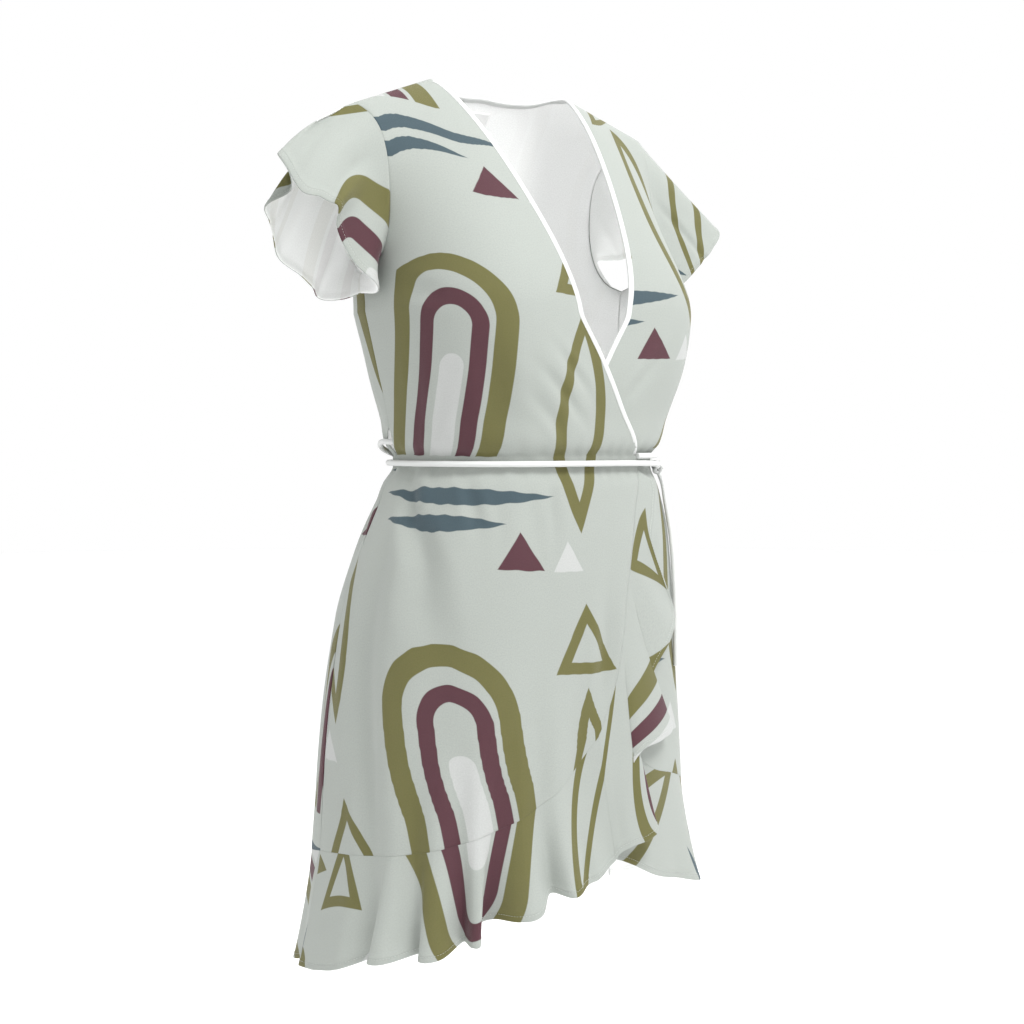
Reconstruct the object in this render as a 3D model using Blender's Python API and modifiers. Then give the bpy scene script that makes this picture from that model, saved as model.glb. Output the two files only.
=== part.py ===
"""Short wrap tea dress, worn form with no wearer in it.

Frame: metres, +Z up, the front faces -Y, the wearer's left is +X. The origin lies midway
between the two points where the shoulder seams meet the neck, where the dress is held up.

The right front laps over the left front. Both fronts and the back are cut in one piece from
the shoulder to a curved seam, which carries a circular flounce. The overlap's flounce starts
at the waist, falls in a cascade and runs on round the hem.
"""
import math

import bmesh
import bpy
from mathutils import Vector

# ---- cloth and trim -------------------------------------------------------------------------
CLOTH = 0.0012            # wall of every cloth panel
MERGE = 0.00001
SEAM_GAP = 0.0004         # space between two pieces sewn together
BINDING_GAP = 0.0011      # between the binding and the cut edge that it encloses
ARMHOLE_GAP = 0.0007
SHOULDER_GAP = 0.0014     # wider, since the two walls meet there at an angle
BINDING_WIDTH = 0.0062
BINDING_THICK = 0.0020
CORD_RADIUS = 0.0030      # rouleau tie
LAYER = 0.0017            # the overlap stands this far out, the underlap this far in

# ---- levels, measured down from the neck points ------------------------------------------------
BUST_Z = -0.235
SLIT_Z = -0.363
WAIST_Z = -0.375
NECK_HALF = 0.088         # neck point to centre
SHOULDER_HALF = 0.188     # armhole end of the shoulder seam to centre
SHOULDER_DROP = 0.036
SHOULDER_BACK = -0.010
YOKE_HALF = 0.2043        # half width of the line that the shoulder generators start from

# ---- horizontal sections: level, half width, front depth, back depth, centre, side seam angle ----
SECTION_COLUMNS = ("level", "half", "front", "back", "centre", "side")
SIDE = SECTION_COLUMNS.index("side")
SECTIONS = (
    (-0.235, 0.172, 0.126, 0.141, -0.034, 101.0),
    (-0.295, 0.162, 0.122, 0.131, -0.041, 101.5),
    (-0.340, 0.150, 0.118, 0.121, -0.042, 103.5),
    (-0.3665, 0.1430, 0.1170, 0.117, -0.040, 107.0),
    (-0.375, 0.1350, 0.1135, 0.109, -0.038, 109.0),
    (-0.378, 0.1350, 0.1135, 0.109, -0.038, 109.0),
    (-0.387, 0.1350, 0.1135, 0.109, -0.038, 109.0),
    (-0.390, 0.1350, 0.1135, 0.109, -0.038, 109.0),
    (-0.404, 0.1435, 0.1190, 0.118, -0.037, 109.0),
    (-0.425, 0.151, 0.122, 0.126, -0.036, 109.0),
    (-0.464, 0.165, 0.130, 0.137, -0.031, 108.0),
    (-0.520, 0.177, 0.145, 0.147, -0.018, 107.0),
    (-0.571, 0.183, 0.154, 0.153, -0.010, 106.0),
    (-0.680, 0.192, 0.166, 0.160, -0.003, 105.0),
    (-0.790, 0.198, 0.171, 0.164, 0.000, 104.0),
    (-0.930, 0.206, 0.178, 0.170, 0.002, 104.0),
)
FRONT_REACH = 80.0        # the front edge is looked for between these angles
HALVINGS = 40
SQUARENESS = 2.3          # 2 is an ellipse, more is boxier

# ---- yoke: how the cloth leaves the shoulder line and arrives at the bust line --------------------
NECK_FALL = 0.4           # the line over the neck falls this part as much as the shoulders do
BACK_LEAVE = (0.150, 0.180)      # towards the back at the centre, and its change at the sides
FRONT_LEAVE = (-0.115, -0.055)
LEAVE_DOWN = (-0.030, -0.050)
ARRIVE_DOWN = -0.200
SEAM_MEET = 0.14          # the front and the back come together over this much at the side
LAYER_SIDE = 0.88         # sideways place where the two fronts start to part for the overlap
LAYER_RISE = 0.33
LAYER_PART = 0.5          # and the part of the yoke over which they do
NECK_ROUND = 0.6          # 1 is a pointed back neck, less is squarer

# ---- bust shaping ----------------------------------------------------------------------------
BUST_ANGLE = 45.0
BUST_OUT = 0.023
BUST_SPREAD = 22.0
BUST_HEIGHT = 0.085

# ---- panel edges -------------------------------------------------------------------------------
ARMHOLE_END = 0.92        # sideways place of the armhole at the shoulder, 1 is the side seam
ARMHOLE_FRONT = 0.850     # and where it cuts in furthest, on the front
ARMHOLE_BACK = 0.860      # and on the back
ARMHOLE_MIDDLE = 0.5      # how far down that is
ARMHOLE_ROUND = 3.5       # 2 is a round foot, more is squarer
ARMHOLE_FOOT_ROW = 5      # the row of the yoke at the underarm
# neckline of the overlap: part of the yoke down from the shoulder, sideways place
NECKLINE = ((0.0, -0.431), (0.25, -0.367), (0.5, -0.285), (0.75, -0.2015), (1.0, -0.1304))
# front edge below the bust: level, distance past the centre front
FRONT_EDGE = (
    (-0.235, -0.034), (-0.278, -0.005), (-0.330, 0.0255), (-0.383, 0.058),
    (-0.430, 0.047), (-0.506, 0.031), (-0.570, 0.019), (-0.616, 0.005), (-0.650, -0.014),
)
# flounce seam from the corner of the front edge round to the side: angle, level
OVER_SEAM = ((-5.0, -0.650), (-20.0, -0.695), (-38.0, -0.728), (-60.0, -0.752), (-105.0, -0.772))
UNDER_SEAM = ((-5.0, -0.650), (-20.0, -0.686), (-38.0, -0.702), (-60.0, -0.722), (-105.0, -0.772))
BACK_SEAM = ((104.0, -0.772), (130.0, -0.786), (180.0, -0.796))

# ---- hems --------------------------------------------------------------------------------------
# a row for each crest and each hollow of a flounce: place along the seam from its waist end,
# sideways swing (towards the lapping side), drop, and stand-off from the body
CASCADE = (
    (0.000, 0.008, 0.004, 0.001),
    (0.020, 0.020, 0.014, 0.003),
    (0.045, 0.020, 0.024, 0.003),
    (0.060, 0.017, 0.030, 0.003),
    (0.088, 0.038, 0.048, 0.004),
    (0.103, 0.056, 0.066, 0.005),
    (0.116, 0.040, 0.078, 0.010),
    (0.126, 0.020, 0.105, 0.003),
    (0.135, 0.036, 0.124, 0.002),
    (0.144, 0.046, 0.137, 0.008),
    (0.160, 0.026, 0.132, 0.013),
    (0.176, 0.005, 0.124, 0.010),
    (0.189, 0.000, 0.133, 0.003),
    (0.202, 0.016, 0.150, 0.003),
    (0.216, 0.030, 0.162, 0.012),
    (0.234, 0.024, 0.154, 0.016),
    (0.254, 0.013, 0.140, 0.014),
    (0.276, 0.012, 0.127, 0.008),
    (0.300, 0.017, 0.118, 0.006),
    (0.326, 0.018, 0.110, 0.012),
    (0.346, 0.018, 0.100, 0.018),
    (0.363, 0.012, 0.096, 0.022),
    (0.383, 0.010, 0.080, 0.006),
    (0.396, 0.008, 0.092, 0.024),
    (0.412, 0.006, 0.092, 0.022),
    (0.426, 0.008, 0.080, 0.006),
    (0.438, 0.006, 0.098, 0.025),
    (0.455, 0.002, 0.096, 0.022),
    (0.470, 0.004, 0.086, 0.005),
    (0.488, 0.006, 0.098, 0.025),
    (0.504, 0.002, 0.098, 0.021),
    (0.514, 0.006, 0.094, 0.006),
    (0.536, 0.000, 0.098, 0.023),
    (0.548, -0.004, 0.098, 0.021),
    (0.561, 0.008, 0.093, 0.007),
    (0.598, 0.000, 0.109, 0.014),
    (0.633, 0.000, 0.114, 0.016),
)
UNDER_FOLDS = (
    (0.000, 0.010, 0.010, 0.000),
    (0.060, 0.020, 0.060, 0.000),
    (0.150, 0.020, 0.105, 0.000),
    (0.250, 0.010, 0.130, 0.000),
    (0.330, 0.004, 0.108, 0.003),
    (0.390, 0.002, 0.108, 0.004),
    (0.440, 0.004, 0.108, 0.018),
    (0.480, 0.000, 0.102, 0.008),
    (0.530, 0.000, 0.098, 0.022),
    (0.580, 0.000, 0.089, 0.009),
    (0.620, 0.000, 0.086, 0.012),
)
BACK_FOLDS = (
    (0.000, 0.000, 0.114, 0.016),
    (0.030, 0.000, 0.112, 0.006),
    (0.070, 0.002, 0.115, 0.011),
    (0.110, -0.002, 0.107, 0.004),
    (0.155, 0.003, 0.113, 0.028),
    (0.195, -0.003, 0.108, 0.009),
    (0.235, 0.002, 0.112, 0.024),
    (0.280, -0.002, 0.108, 0.008),
    (0.325, 0.003, 0.113, 0.028),
    (0.365, 0.000, 0.108, 0.009),
    (0.405, -0.002, 0.102, 0.025),
    (0.440, 0.000, 0.090, 0.009),
    (0.475, 0.000, 0.086, 0.012),
)
# hems of the sleeves, both as on the wearer's right, from the underarm up the front, over the top
# and down the back: part of the way round the armhole, x, y and z of the hem
RIGHT_HEM = (
    (0.00, -0.180, -0.010, -0.219),
    (0.09, -0.193, -0.056, -0.214),
    (0.17, -0.215, -0.047, -0.193),
    (0.25, -0.235, -0.049, -0.163),
    (0.31, -0.243, -0.062, -0.143),
    (0.36, -0.255, -0.053, -0.136),
    (0.42, -0.274, -0.047, -0.131),
    (0.47, -0.278, -0.031, -0.109),
    (0.51, -0.280, -0.018, -0.096),
    (0.57, -0.279, 0.006, -0.141),
    (0.63, -0.261, 0.018, -0.168),
    (0.70, -0.250, 0.028, -0.187),
    (0.78, -0.231, 0.015, -0.205),
    (0.86, -0.212, 0.016, -0.224),
    (0.93, -0.194, -0.004, -0.225),
    (1.00, -0.180, -0.010, -0.219),
)
LEFT_HEM = (
    (0.00, -0.181, -0.004, -0.213),
    (0.09, -0.196, -0.045, -0.208),
    (0.17, -0.222, -0.050, -0.189),
    (0.25, -0.240, -0.051, -0.173),
    (0.31, -0.252, -0.052, -0.162),
    (0.36, -0.263, -0.050, -0.152),
    (0.42, -0.279, -0.045, -0.132),
    (0.47, -0.270, -0.031, -0.118),
    (0.51, -0.262, -0.018, -0.112),
    (0.57, -0.262, 0.010, -0.130),
    (0.63, -0.248, 0.032, -0.146),
    (0.70, -0.228, 0.048, -0.156),
    (0.78, -0.208, 0.056, -0.160),
    (0.86, -0.184, 0.052, -0.165),
    (0.93, -0.183, 0.025, -0.195),
    (1.00, -0.181, -0.004, -0.213),
)
HEM_FALL = Vector((0.0, 0.0, -0.35))
UNDERARM_PART = 0.45      # part of the armhole's height that counts as its side, not its foot
UNDERARM_LIFT = 0.0026    # a sleeve starts on top of the bodice at the underarm
FULL_BULGE = 0.33         # how far a sleeve stands away at the underarm before it falls
RIGHT_BULGE = 0.45        # and the same over the top of each cap
LEFT_BULGE = 0.00
CAP_PART = 0.45
CAP_SPREAD = 0.15

# ---- grid counts ---------------------------------------------------------------------------------
YOKE_ROWS = 6
LEVELS = (-0.268, -0.301, -0.328, -0.349, SLIT_Z, WAIST_Z, -0.390, -0.404)
WAIST_ROW = YOKE_ROWS + LEVELS.index(WAIST_Z) + 1
SKIRT_TOP = LEVELS[-1]
SKIRT_ROWS = 5
FRONT_COLUMNS = 12
BACK_NECK_COLUMNS = 8
BACK_SHOULDER_COLUMNS = 4
FLOUNCE_ROWS = 4
FLARE = 1.35              # folds open late, towards the hem
FLOUNCE_START = 0.0175    # distance below the end of the binding
UNDER_START = 0.0280
OVER_SPLITS = 4           # columns of a flounce to each column of its panel
UNDER_SPLITS = 2
SLEEVE_ROWS = 4
SLEEVE_SPLITS = 3
SLIT_HALF = {-2: 0.003, -1: 0.013, 0: 0.006}    # by rows from the waist row
BACK_NECK_PART = 0.17     # how far down the yoke the back neck lies at the centre

# ---- waist ties -----------------------------------------------------------------------------------
TIE_STEPS = 12
RIGHT_TIE_POINTS = 46
LEFT_TIE_POINTS = 40
FRONT_END_POINTS = 16
BACK_END_POINTS = 15
CORD_SIDES = 2            # bevel resolution of a tie
KNOT_SEGMENTS = 10
KNOT_RINGS = 7
KNOT_ANGLE = 56.0
KNOT_Z = -0.3885
KNOT_WAIST = 0.16         # how much the knot is drawn in at its middle
KNOT_HALF = (0.0065, 0.0060, 0.0075)
# right front's tie: angle, level, lift over the form
RIGHT_TIE = (
    (27.2, -0.3770, 0.0036), (34.0, -0.3770, 0.0050), (60.0, -0.3770, 0.0050),
    (85.0, -0.3805, 0.0050), (110.0, -0.3840, 0.0050), (180.0, -0.3840, 0.0050),
    (252.0, -0.3840, 0.0052), (285.0, -0.3840, 0.0060), (310.0, -0.3840, 0.0070),
    (375.0, -0.3840, 0.0072), (405.0, -0.3855, 0.0072), (413.5, -0.3880, 0.0072),
)
# left front's tie: inside the right front to the slit in the side seam, round the back
LEFT_TIE = (
    (-36.0, -0.3735, -0.0050), (-60.0, -0.3715, -0.0054), (-85.0, -0.3655, -0.0090),
    (-101.0, -0.3630, -0.0075), (-107.0, -0.3630, 0.0000), (-112.0, -0.3635, 0.0055),
    (-126.0, -0.3725, 0.0066), (-140.0, -0.3770, 0.0052), (-180.0, -0.3770, 0.0050),
    (-240.0, -0.3770, 0.0052), (-252.0, -0.3770, 0.0084), (-262.0, -0.3775, 0.0115),
    (-275.0, -0.3800, 0.0120),
    (-288.0, -0.3845, 0.0117), (-301.5, -0.3880, 0.0085),
)
# hanging ends: angle, level, lift
FRONT_END = (
    (54.4, -0.3955, 0.0070), (53.2, -0.4120, 0.0054), (51.0, -0.4450, 0.0044),
    (47.5, -0.4900, 0.0042), (44.5, -0.5400, 0.0042), (42.0, -0.5930, 0.0042),
)
BACK_END = (
    (57.6, -0.3955, 0.0070), (57.0, -0.4120, 0.0054), (55.4, -0.4450, 0.0044),
    (52.0, -0.4900, 0.0042), (49.0, -0.5350, 0.0042), (46.5, -0.5720, 0.0042),
)

# ---- neck label -------------------------------------------------------------------------------------
LABEL_COLUMNS = (-0.73, 0.0, 0.73)    # in columns of the back from its centre
LABEL_ROWS = (0.25, 1.0, 1.25)        # in rows of the back
LABEL_GAP = 0.0004
LABEL_THICK = 0.0010

# ---- colours (linear) ------------------------------------------------------------------------------
SAGE = (0.66, 0.70, 0.66, 1.0)
WHITE = (0.80, 0.80, 0.79, 1.0)
CLOTH_ROUGH = 0.8
TRIM_ROUGH = 0.7


def ease(part):
    """Smooth step from 0 to 1."""
    part = min(max(part, 0.0), 1.0)
    return part * part * (3.0 - 2.0 * part)


def along(table, column, at):
    """Smooth curve through one column of a table whose first column rises or falls."""
    rows = table if table[0][0] < table[-1][0] else table[::-1]
    if at <= rows[0][0]:
        return rows[0][column]
    if at >= rows[-1][0]:
        return rows[-1][column]
    i = max(k for k in range(len(rows) - 1) if rows[k][0] <= at)
    x0, y0 = rows[i][0], rows[i][column]
    x1, y1 = rows[i + 1][0], rows[i + 1][column]
    step = x1 - x0
    slope = (y1 - y0) / step
    before = slope
    after = slope
    if i > 0:
        before = (y0 - rows[i - 1][column]) / (x0 - rows[i - 1][0])
    if i + 2 < len(rows):
        after = (rows[i + 2][column] - y1) / (rows[i + 2][0] - x1)
    t = (at - x0) / step
    tangent0 = 0.5 * (before + slope) * step
    tangent1 = 0.5 * (slope + after) * step
    return ((2 * t**3 - 3 * t**2 + 1) * y0 + (t**3 - 2 * t**2 + t) * tangent0
            + (3 * t**2 - 2 * t**3) * y1 + (t**3 - t**2) * tangent1)


def section(level):
    return {name: along(SECTIONS, k, level) for k, name in enumerate(SECTION_COLUMNS) if k}


def bust(angle, level):
    """How far the two bust points push the cloth out."""
    aside = (abs(angle) - BUST_ANGLE) / BUST_SPREAD
    height = (level - BUST_Z) / BUST_HEIGHT
    return BUST_OUT * math.exp(-aside * aside - height * height)


def body_point(angle, level, out=0.0):
    """A point of the worn form below the bust line; angle 0 is the front, +90 the left."""
    size = section(level)
    turn = math.radians(angle)
    depth = size["front"] if math.cos(turn) > 0 else size["back"]
    reach = ((abs(math.sin(turn)) / size["half"]) ** SQUARENESS
             + (abs(math.cos(turn)) / depth) ** SQUARENESS) ** (-1.0 / SQUARENESS)
    reach += bust(angle, level) + out
    return Vector((reach * math.sin(turn), size["centre"] - reach * math.cos(turn), level))


def shoulder_point(place):
    """A point of the shoulder line, carried on over the neck opening."""
    x = place * YOKE_HALF
    past_neck = (abs(x) - NECK_HALF) / (SHOULDER_HALF - NECK_HALF)
    fall = SHOULDER_DROP * past_neck * (1.0 if past_neck > 0 else NECK_FALL)
    return Vector((x, SHOULDER_BACK * max(past_neck, 0.0), -fall))


def yoke_point(place, part, is_back):
    """A point between the shoulder line (part 0) and the bust line (part 1)."""
    start = shoulder_point(place)
    side = along(SECTIONS, SIDE, BUST_Z)
    angle = 180.0 - place * (180.0 - side) if is_back else place * side
    if is_back and place < 0:
        angle = -180.0 - place * (180.0 - side)
    foot = body_point(angle, BUST_Z)
    level, change = BACK_LEAVE if is_back else FRONT_LEAVE
    away = (level + change * place**2) * ease((1.0 - abs(place)) / SEAM_MEET)
    leave = Vector((0.0, away, LEAVE_DOWN[0] + LEAVE_DOWN[1] * place**2))
    arrive = Vector((0.0, 0.0, ARRIVE_DOWN))
    t = part
    point = (start * (2 * t**3 - 3 * t**2 + 1) + leave * (t**3 - 2 * t**2 + t)
             + foot * (3 * t**2 - 2 * t**3) + arrive * (t**3 - t**2))
    if not is_back and t < 1.0:
        turn = math.radians(angle)
        swell = bust(angle, point.z) - ease(t) * bust(angle, BUST_Z)
        point += Vector((math.sin(turn), -math.cos(turn), 0.0)) * swell * ease(t)
    return point


def armhole(part, inmost):
    """Sideways place of the armhole edge on the yoke; 1 is the side seam."""
    t = min(part * YOKE_ROWS / ARMHOLE_FOOT_ROW, 1.0)
    if t <= ARMHOLE_MIDDLE:
        return ARMHOLE_END + (inmost - ARMHOLE_END) * math.sin(math.pi / 2 * t / ARMHOLE_MIDDLE)
    rise = (t - ARMHOLE_MIDDLE) / (1.0 - ARMHOLE_MIDDLE)
    round_foot = 1.0 - math.sqrt(max(1.0 - rise**ARMHOLE_ROUND, 0.0))
    return inmost + (1.0 - inmost) * round_foot


def outward(grid, row, column):
    """Unit normal of a grid of points that are meant to face out of the body."""
    rows = len(grid) - 1
    columns = len(grid[0]) - 1
    down = grid[min(row + 1, rows)][column] - grid[max(row - 1, 0)][column]
    across = grid[row][min(column + 1, columns)] - grid[row][max(column - 1, 0)]
    return across.cross(down).normalized() * -1.0


def lifted(grid, lift):
    """The grid moved along its normals by lift(row, column)."""
    return [[grid[r][c] + outward(grid, r, c) * lift(r, c) for c in range(len(grid[0]))]
            for r in range(len(grid))]


# ---- mesh helpers ------------------------------------------------------------------------------
def material(name, colour, roughness):
    made = bpy.data.materials.new(name)
    made.use_nodes = True
    shader = made.node_tree.nodes["Principled BSDF"]
    shader.inputs["Base Color"].default_value = colour
    shader.inputs["Roughness"].default_value = roughness
    made.diffuse_color = colour
    return made


def finish(piece, colour, roughness):
    piece.data.materials.append(material(piece.name + "_finish", colour, roughness))
    DRESS.objects.link(piece)
    return piece


def cloth(name, grid, thickness=CLOTH, colour=SAGE, closed=False):
    """Lay a flat grid on the given rows of points and give it the cloth's thickness."""
    rows = len(grid)
    columns = len(grid[0])
    work = bmesh.new()
    bmesh.ops.create_grid(work, x_segments=columns - 1, y_segments=rows - 1, size=1.0)
    work.verts.ensure_lookup_table()
    for number, vertex in enumerate(work.verts):
        vertex.co = grid[number // columns][number % columns]
    if closed:
        bmesh.ops.remove_doubles(work, verts=work.verts, dist=MERGE)
    mesh = bpy.data.meshes.new(name)
    work.to_mesh(mesh)
    work.free()
    mesh.shade_smooth()
    piece = bpy.data.objects.new(name, mesh)
    wall = piece.modifiers.new("wall", "SOLIDIFY")
    wall.thickness = thickness
    wall.offset = 0.0
    return finish(piece, colour, CLOTH_ROUGH)


def cord(name, points):
    """A rouleau tie along the points."""
    line = bpy.data.curves.new(name, "CURVE")
    line.dimensions = "3D"
    line.bevel_depth = CORD_RADIUS
    line.bevel_resolution = CORD_SIDES
    line.use_fill_caps = True
    run = line.splines.new("POLY")
    run.points.add(len(points) - 1)
    for knot, place in zip(run.points, points):
        knot.co = (place.x, place.y, place.z, 1.0)
    piece = bpy.data.objects.new(name, line)
    return finish(piece, WHITE, TRIM_ROUGH)


# ---- fronts and back ------------------------------------------------------------------------------
def layer_share(place, part):
    """0 at the side seam and shoulder, 1 where the two fronts lie on each other."""
    share = ease(part / LAYER_PART)
    return share * ease((LAYER_SIDE - abs(place)) / LAYER_RISE) if place < 0 else share


def front_place(angle, level):
    return angle / along(SECTIONS, SIDE, level)


def angle_at(x, level):
    """Angle of the front at a distance from the centre front."""
    low, high = -FRONT_REACH, FRONT_REACH
    for _ in range(HALVINGS):
        middle = 0.5 * (low + high)
        if body_point(middle, level).x < x:
            low = middle
        else:
            high = middle
    return 0.5 * (low + high)


def seam_level(seam, angle):
    return along(seam, 1, angle)


def front_grid(seam):
    """Right front: columns run from the side seam to the front edge, rows from the shoulder."""
    grid = []
    places = []
    for row in range(YOKE_ROWS + 1):
        part = row / YOKE_ROWS
        side = -armhole(part, ARMHOLE_FRONT)
        edge = along(NECKLINE, 1, part)
        places.append([(side + (edge - side) * c / FRONT_COLUMNS, part)
                       for c in range(FRONT_COLUMNS + 1)])
        grid.append([yoke_point(p, h, False) for p, h in places[-1]])
    for level in LEVELS:
        side = -along(SECTIONS, SIDE, level)
        edge = angle_at(along(FRONT_EDGE, 1, level), level)
        angles = [side + (edge - side) * c / FRONT_COLUMNS for c in range(FRONT_COLUMNS + 1)]
        places.append([(front_place(a, level), 1.0) for a in angles])
        grid.append([body_point(a, level) for a in angles])
    corner_level = seam[0][1]
    for row in range(1, SKIRT_ROWS + 1):
        part = row / SKIRT_ROWS
        edge_level = SKIRT_TOP + (corner_level - SKIRT_TOP) * part
        edge_angle = angle_at(along(FRONT_EDGE, 1, edge_level), edge_level)
        points = []
        spots = []
        for c in range(FRONT_COLUMNS + 1):
            share = c / FRONT_COLUMNS
            seam_angle = seam[-1][0] + (seam[0][0] - seam[-1][0]) * share
            foot = seam_level(seam, seam_angle)
            level = SKIRT_TOP + (foot - SKIRT_TOP) * part
            side_angle = -along(SECTIONS, SIDE, level)
            angle = side_angle + (edge_angle - side_angle) * share
            if row == SKIRT_ROWS:
                angle = side_angle + (seam[0][0] - side_angle) * share
            spots.append((front_place(angle, level), 1.0))
            points.append(body_point(angle, level))
        grid.append(points)
        places.append(spots)
    return grid, places


def back_grid():
    """Back: columns run from the right side seam to the left one, rows from neck and shoulder."""
    neck_share = NECK_HALF / (ARMHOLE_END * YOKE_HALF)
    shares = [-1.0 + (1.0 - neck_share) * k / BACK_SHOULDER_COLUMNS
              for k in range(BACK_SHOULDER_COLUMNS)]
    shares += [neck_share * (2.0 * k / BACK_NECK_COLUMNS - 1.0)
               for k in range(BACK_NECK_COLUMNS + 1)]
    shares += [-s for s in shares[:BACK_SHOULDER_COLUMNS][::-1]]
    grid = []
    for row in range(YOKE_ROWS + 1):
        part = row / YOKE_ROWS
        line = []
        for share in shares:
            inside = max(1.0 - (abs(share) / neck_share) ** 2, 0.0)
            own = BACK_NECK_PART * inside ** NECK_ROUND * (1.0 - part) + part
            line.append(yoke_point(share * armhole(part, ARMHOLE_BACK), own, True))
        grid.append(line)
    for level in LEVELS:
        side = along(SECTIONS, SIDE, level)
        grid.append([body_point(back_angle(share, side), level) for share in shares])
    for row in range(1, SKIRT_ROWS + 1):
        part = row / SKIRT_ROWS
        line = []
        for share in shares:
            foot = seam_level(BACK_SEAM, abs(back_angle(share, BACK_SEAM[0][0])))
            level = SKIRT_TOP + (foot - SKIRT_TOP) * part
            line.append(body_point(back_angle(share, along(SECTIONS, SIDE, level)), level))
        grid.append(line)
    return grid


def back_angle(share, side):
    """Angle of a back column: share -1 is the right side seam, 1 the left one."""
    angle = 180.0 - share * (180.0 - side)
    return angle if share >= 0 else -(180.0 + share * (180.0 - side))


def mirrored(grid):
    """The grid mirrored to the wearer's left."""
    return [[Vector((-p.x, p.y, p.z)) for p in row] for row in grid]


def shortened(line, start, end):
    """The line cut short at both ends, with its points spread evenly again."""
    span = sum((b - a).length for a, b in zip(line, line[1:])) - start - end
    return [at_place(line, start + span * k / (len(line) - 1)) for k in range(len(line))]


def pulled_in(grid, column, size):
    """Pull one side edge of a grid in by size(row)."""
    inner = 1 if column == 0 else column - 1
    for r, row in enumerate(grid):
        row[column] += (row[inner] - row[column]).normalized() * size(r)


def slit_size(row):
    """Half of the seam gap, opened at the slit that the left front's tie comes out of."""
    return SLIT_HALF.get(row - WAIST_ROW, SEAM_GAP / 2)


def seam_size(row):
    return SEAM_GAP / 2


def neck_size(row):
    """The panel stops short of the finished neckline by the width of the binding."""
    extra = BINDING_GAP if row == 0 else 0.0
    return BINDING_WIDTH + BINDING_GAP + extra if row <= WAIST_ROW else 0.0


def shoulder_gap(grid, columns):
    for c in columns:
        step = grid[1][c] - grid[0][c]
        grid[0][c] = grid[0][c] + step.normalized() * SHOULDER_GAP / 2
    return grid


def front_panel(seam, layer, side_size):
    """A right front with its layer, and the line of its finished neck edge."""
    grid, places = front_grid(seam)
    raised = lifted(grid, lambda r, c: layer * layer_share(*places[r][c]))
    finished = [row[-1].copy() for row in raised]
    raised = [shortened(row, side_size(r), neck_size(r)) for r, row in enumerate(raised)]
    return shoulder_gap(raised, range(FRONT_COLUMNS + 1)), finished


def back_panel():
    """The back with its neck cut back for the binding, and the line of its finished neck."""
    grid = back_grid()
    last = len(grid[0]) - 1
    pulled_in(grid, 0, slit_size)
    pulled_in(grid, last, seam_size)
    first = BACK_SHOULDER_COLUMNS
    finished = [grid[0][c].copy() for c in range(first, last - first + 1)]
    for c in range(first, last - first + 1):
        towards = grid[1][c]
        if c == first:
            towards = grid[0][c - 1]
        if c == last - first:
            towards = grid[0][c + 1]
        step = (towards - grid[0][c]).normalized()
        grid[0][c] = grid[0][c] + step * (BINDING_WIDTH + BINDING_GAP)
    shoulders = list(range(first + 1))
    shoulders += [last - c for c in shoulders]
    return shoulder_gap(grid, shoulders), finished


# ---- binding ------------------------------------------------------------------------------------
def binding_grid(front_right, right_edge, back, neck_edge, front_left, left_edge):
    """Two rows of points along the whole neckline: the edge of the cloth and the finished edge."""
    first = BACK_SHOULDER_COLUMNS
    cloth_side = [front_right[r][-1] for r in range(WAIST_ROW, 0, -1)]
    free_side = [right_edge[r] for r in range(WAIST_ROW, 0, -1)]
    cloth_side += back[0][first:len(back[0]) - first]
    free_side += neck_edge
    cloth_side += [front_left[r][-1] for r in range(1, WAIST_ROW + 1)]
    free_side += [left_edge[r] for r in range(1, WAIST_ROW + 1)]
    inner = [c + (f - c).normalized() * BINDING_GAP for c, f in zip(cloth_side, free_side)]
    return [inner, free_side]


# ---- flounces -----------------------------------------------------------------------------------
def seam_stations(line, splits, start=0.0, finish=0.0):
    """Points on the panel's own edge, each stretch cut in equal parts, with their places."""
    stations = []
    place = 0.0
    total = sum((b - a).length for a, b in zip(line, line[1:]))
    for a, b in zip(line, line[1:]):
        for k in range(splits):
            stations.append((place + (b - a).length * k / splits, a.lerp(b, k / splits)))
        place += (b - a).length
    stations.append((total, line[-1]))
    kept = [s for s in stations if start < s[0] < total - finish]
    ends = [(start, at_place(line, start)), (total - finish, at_place(line, total - finish))]
    return [ends[0]] + kept + [ends[1]]


def at_place(line, place):
    for a, b in zip(line, line[1:]):
        length = (b - a).length
        if place <= length:
            return a.lerp(b, place / length)
        place -= length
    return line[-1].copy()


def flounce_grid(stations, folds, side):
    """Rows from the seam to the hem; side is +1 where swing goes to the wearer's left."""
    grid = [[] for _ in range(FLOUNCE_ROWS + 1)]
    for number, (place, edge_point) in enumerate(stations):
        ahead = stations[min(number + 1, len(stations) - 1)][1]
        behind = stations[max(number - 1, 0)][1]
        facing = Vector((edge_point.x, edge_point.y - section(edge_point.z)["centre"], 0.0))
        seam_point = edge_point + facing.cross(ahead - behind).normalized() * SEAM_GAP
        angle = math.degrees(math.atan2(seam_point.x,
                                        section(seam_point.z)["centre"] - seam_point.y))
        swing, drop, out = (along(folds, k, place) for k in (1, 2, 3))
        base = body_point(angle, seam_point.z)
        radius = math.hypot(base.x, base.y - section(seam_point.z)["centre"])
        turn = side * math.degrees(swing / radius)
        for row in range(FLOUNCE_ROWS + 1):
            t = row / FLOUNCE_ROWS
            share = t**FLARE
            goal = body_point(angle + turn * t, seam_point.z - drop * t, out * share)
            grid[row].append(seam_point + (goal - base))
    return grid


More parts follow.
